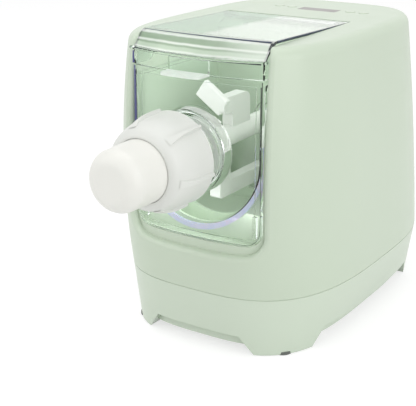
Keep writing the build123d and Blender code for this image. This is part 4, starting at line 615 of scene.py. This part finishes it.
def lid_edges():
    """Painted dark and coloured lines for the light bent at the edges of the lid's thick plastic, on
    its top front line, sides, ends, corner and lip.
    """
    # Each cord is a painted dark line for light bent in the lid's thick edges.
    front = [(x, lid_top_front(x), LID_LINE_Z) for x in spread(-59.0, 59.0, 25)]
    cord_along("lid_front_edge", front, spread(0.8, 1.9, 25), "lid", painted_edge_navy, flat=0.4)
    side = [(LID_END_X, y, 259.0 + 3.0 * y / LID_TOP_FRONT) for y in spread(-124.0, -6.0, 17)]
    cord_along("lid_side_edge", side, spread(1.0, 0.5, 17), "lid", painted_edge_navy)
    roll = [
        (-128.0, 261.4), (-131.5, 260.6), (-135.0, 257.6),
        (-138.2, 253.8), (-140.6, 250.4), (-141.6, 247.0),
    ]
    right = [(LID_END_X, y, z) for y, z in roll]
    cord_along("lid_right_end", right, [1.3, 1.7, 1.5, 1.0, 0.6, 0.4], "lid", painted_edge_black)
    left = [(-LID_END_X, y, z) for y, z in roll]
    cord_along("lid_left_end", left, [0.4, 0.5, 0.5, 0.5, 0.4, 0.3], "lid", painted_edge_navy)
    corner = [(CORNER_X, -145.4, z) for z in spread(246.6, 236.7, 10)]
    cord_along("lid_left_corner", corner, spread(0.6, 0.87, 10), "lid", painted_edge_indigo)
    under = [(x, bowed(x, LIP_FRONT, LIP_BOW_R), LIP_Z) for x in spread(14.0, 60.0, 13)]
    cord_along("lip_edge", under, spread(0.12, 0.57, 13), "lid", painted_edge_black)


def panel_edges():
    """Painted indigo line for the light bent at the panel's left edge, and a thin painted dark line
    of shade on its right and lower edges.
    """
    # Painted indigo and dark lines for light bent and shaded at the panel's edges.
    strip = [(CORNER_X, -143.6, z) for z in spread(234.4, 114.4, 31)]
    strip_radii = spread(0.8, 1.2, 11) + [1.2] * 20
    cord_along("panel_strip_left", strip, strip_radii, "panel", painted_edge_indigo)
    middle_x, middle_z = PANEL_RIGHT - PANEL_ROUND, PANEL_BOTTOM + PANEL_ROUND
    line = [(PANEL_RIGHT, z) for z in spread(234.0, 114.0, 31)]
    for turn in spread(math.pi / 16, 7 * math.pi / 16, 7):
        across, down = PANEL_ROUND * math.cos(turn), PANEL_ROUND * math.sin(turn)
        line.append((middle_x + across, middle_z - down))
    line += [(x, PANEL_BOTTOM) for x in spread(middle_x, middle_x - 90.0, 16)]
    outline = [(x, bowed(x, PANEL_FRONT, PANEL_BOW_R) - 1.05, z) for x, z in line]
    radii = spread(0.42, 0.2, 37) + [0.2] * (len(outline) - 37)
    cord_along("panel_outline", outline, radii, "panel", painted_edge_moss)


lid_edges()
panel_edges()


# ---------------------------------------------------------------- studio
def seen_share(tree):
    """Rays that show the white surroundings: looked at, mirrored, or through clear plastic."""
    rays = place(tree, "ShaderNodeLightPath", -400, 300)
    looked = place(tree, "ShaderNodeMath", -160, 300, operation="MAXIMUM")
    passed = place(tree, "ShaderNodeMath", 60, 300, operation="MAXIMUM")
    join(tree, rays.outputs["Is Camera Ray"], looked.inputs[0])
    join(tree, rays.outputs["Is Glossy Ray"], looked.inputs[1])
    join(tree, looked.outputs[0], passed.inputs[0])
    join(tree, rays.outputs["Is Transmission Ray"], passed.inputs[1])
    return passed.outputs[0]


def studio_floor():
    """Pale floor that shows white and keeps the shadow under the machine."""
    mesh = bpy.data.meshes.new("studio_floor")
    form = bmesh.new()
    bmesh.ops.create_grid(form, x_segments=8, y_segments=8, size=6.0)
    form.to_mesh(mesh)
    form.free()
    floor = bpy.data.objects.new("studio_floor", mesh)
    bpy.context.scene.collection.objects.link(floor)
    material = bpy.data.materials.new("studio_floor")
    material.use_nodes = True
    tree = material.node_tree
    tree.nodes.clear()
    matt = place(tree, "ShaderNodeBsdfDiffuse", 0, 0)
    matt.inputs["Color"].default_value = (0.8, 0.8, 0.8, 1.0)
    seen = place(tree, "ShaderNodeBsdfDiffuse", 0, -160)
    seen.inputs["Color"].default_value = (0.42, 0.42, 0.42, 1.0)
    glow = place(tree, "ShaderNodeEmission", 0, -320)
    glow.inputs["Strength"].default_value = 0.66
    both = place(tree, "ShaderNodeAddShader", 240, -240)
    pick = place(tree, "ShaderNodeMixShader", 480, 0)
    out = place(tree, "ShaderNodeOutputMaterial", 700, 0)
    join(tree, seen.outputs[0], both.inputs[0])
    join(tree, glow.outputs[0], both.inputs[1])
    join(tree, seen_share(tree), pick.inputs["Fac"])
    join(tree, matt.outputs[0], pick.inputs[1])
    join(tree, both.outputs[0], pick.inputs[2])
    join(tree, pick.outputs[0], out.inputs["Surface"])
    mesh.materials.append(material)


def studio_world():
    """White surroundings for what is seen, and a softer level of light from all round."""
    world = bpy.data.worlds.new("studio")
    bpy.context.scene.world = world
    world.use_nodes = True
    tree = world.node_tree
    tree.nodes.clear()
    seen = place(tree, "ShaderNodeBackground", 0, 0)
    seen.inputs["Color"].default_value = (1.0, 1.0, 1.0, 1.0)
    seen.inputs["Strength"].default_value = 1.0
    soft = place(tree, "ShaderNodeBackground", 0, 160)
    soft.inputs["Color"].default_value = (1.0, 1.0, 1.0, 1.0)
    soft.inputs["Strength"].default_value = 0.68
    pick = place(tree, "ShaderNodeMixShader", 480, 0)
    out = place(tree, "ShaderNodeOutputWorld", 700, 0)
    join(tree, seen_share(tree), pick.inputs["Fac"])
    join(tree, soft.outputs[0], pick.inputs[1])
    join(tree, seen.outputs[0], pick.inputs[2])
    join(tree, pick.outputs[0], out.inputs["Surface"])


def softbox(name, place_mm, look_mm, size, power):
    """Large area lamp at a place, facing another."""
    lamp = bpy.data.lights.new(name, "AREA")
    lamp.shape = "RECTANGLE"
    lamp.size, lamp.size_y = size
    lamp.energy = power
    holder = bpy.data.objects.new(name, lamp)
    holder.location = at(*place_mm)
    way = at(*look_mm) - holder.location
    holder.rotation_mode = "QUATERNION"
    holder.rotation_quaternion = way.to_track_quat("-Z", "Y")
    bpy.context.scene.collection.objects.link(holder)
    return holder


def bay_lights():
    """Soft lamps inside the bay for the light that its clear walls gather; they are never seen."""
    for name, spot, look, size, power in (
        ("bay_mouth_light", (0, -132, 165), (0, -20, 160), (0.11, 0.12), 0.026),
        ("bay_lid_light", (0, -72, 246), (0, -72, 100), (0.11, 0.12), 0.02),
        ("bay_side_light", (57, -80, 180), (-60, -60, 175), (0.09, 0.11), 0.015),
        ("bay_sill_light", (0, -136, 124), (0, -126, 95), (0.11, 0.02), 0.010),
    ):
        holder = softbox(name, spot, look, size, power)
        holder.visible_camera = False
        holder.visible_glossy = False
        holder.visible_transmission = False


def camera():
    """The view from the machine's front right, a little above the lid."""
    azimuth, elevation = math.radians(32.85), math.radians(19.19)
    distance, aside, height = 977.5, -69.34, 84.71
    right = Vector((math.cos(azimuth), math.sin(azimuth), 0))
    back = Vector(
        (
            math.sin(azimuth) * math.cos(elevation),
            -math.cos(azimuth) * math.cos(elevation),
            math.sin(elevation),
        )
    )
    up = back.cross(right)
    spot = right * aside + Vector((0, 0, height)) + back * distance
    data = bpy.data.cameras.new("camera")
    data.sensor_width, data.lens = 36.0, 89.86
    data.clip_start, data.clip_end = 0.05, 50.0
    holder = bpy.data.objects.new("camera", data)
    turn = Matrix((right, up, back)).transposed().to_4x4()
    holder.matrix_world = Matrix.Translation(at(*spot)) @ turn
    bpy.context.scene.collection.objects.link(holder)
    bpy.context.scene.camera = holder


studio_floor()
studio_world()
softbox("overhead", (-200, -100, 1500), (0, 0, 120), (1.6, 1.6), 7.4)
softbox("front_left", (-900, -1200, 700), (0, 0, 120), (1.2, 1.2), 5.4)
softbox("right_side", (1400, -500, 600), (0, 0, 120), (1.4, 1.4), 9.6)
softbox("rear_sheen", (-1000, 1550, 900), (0, 0, 260), (2.4, 1.0), 1.2)
bay_lights()
camera()
bpy.context.scene.view_settings.view_transform = "Standard"
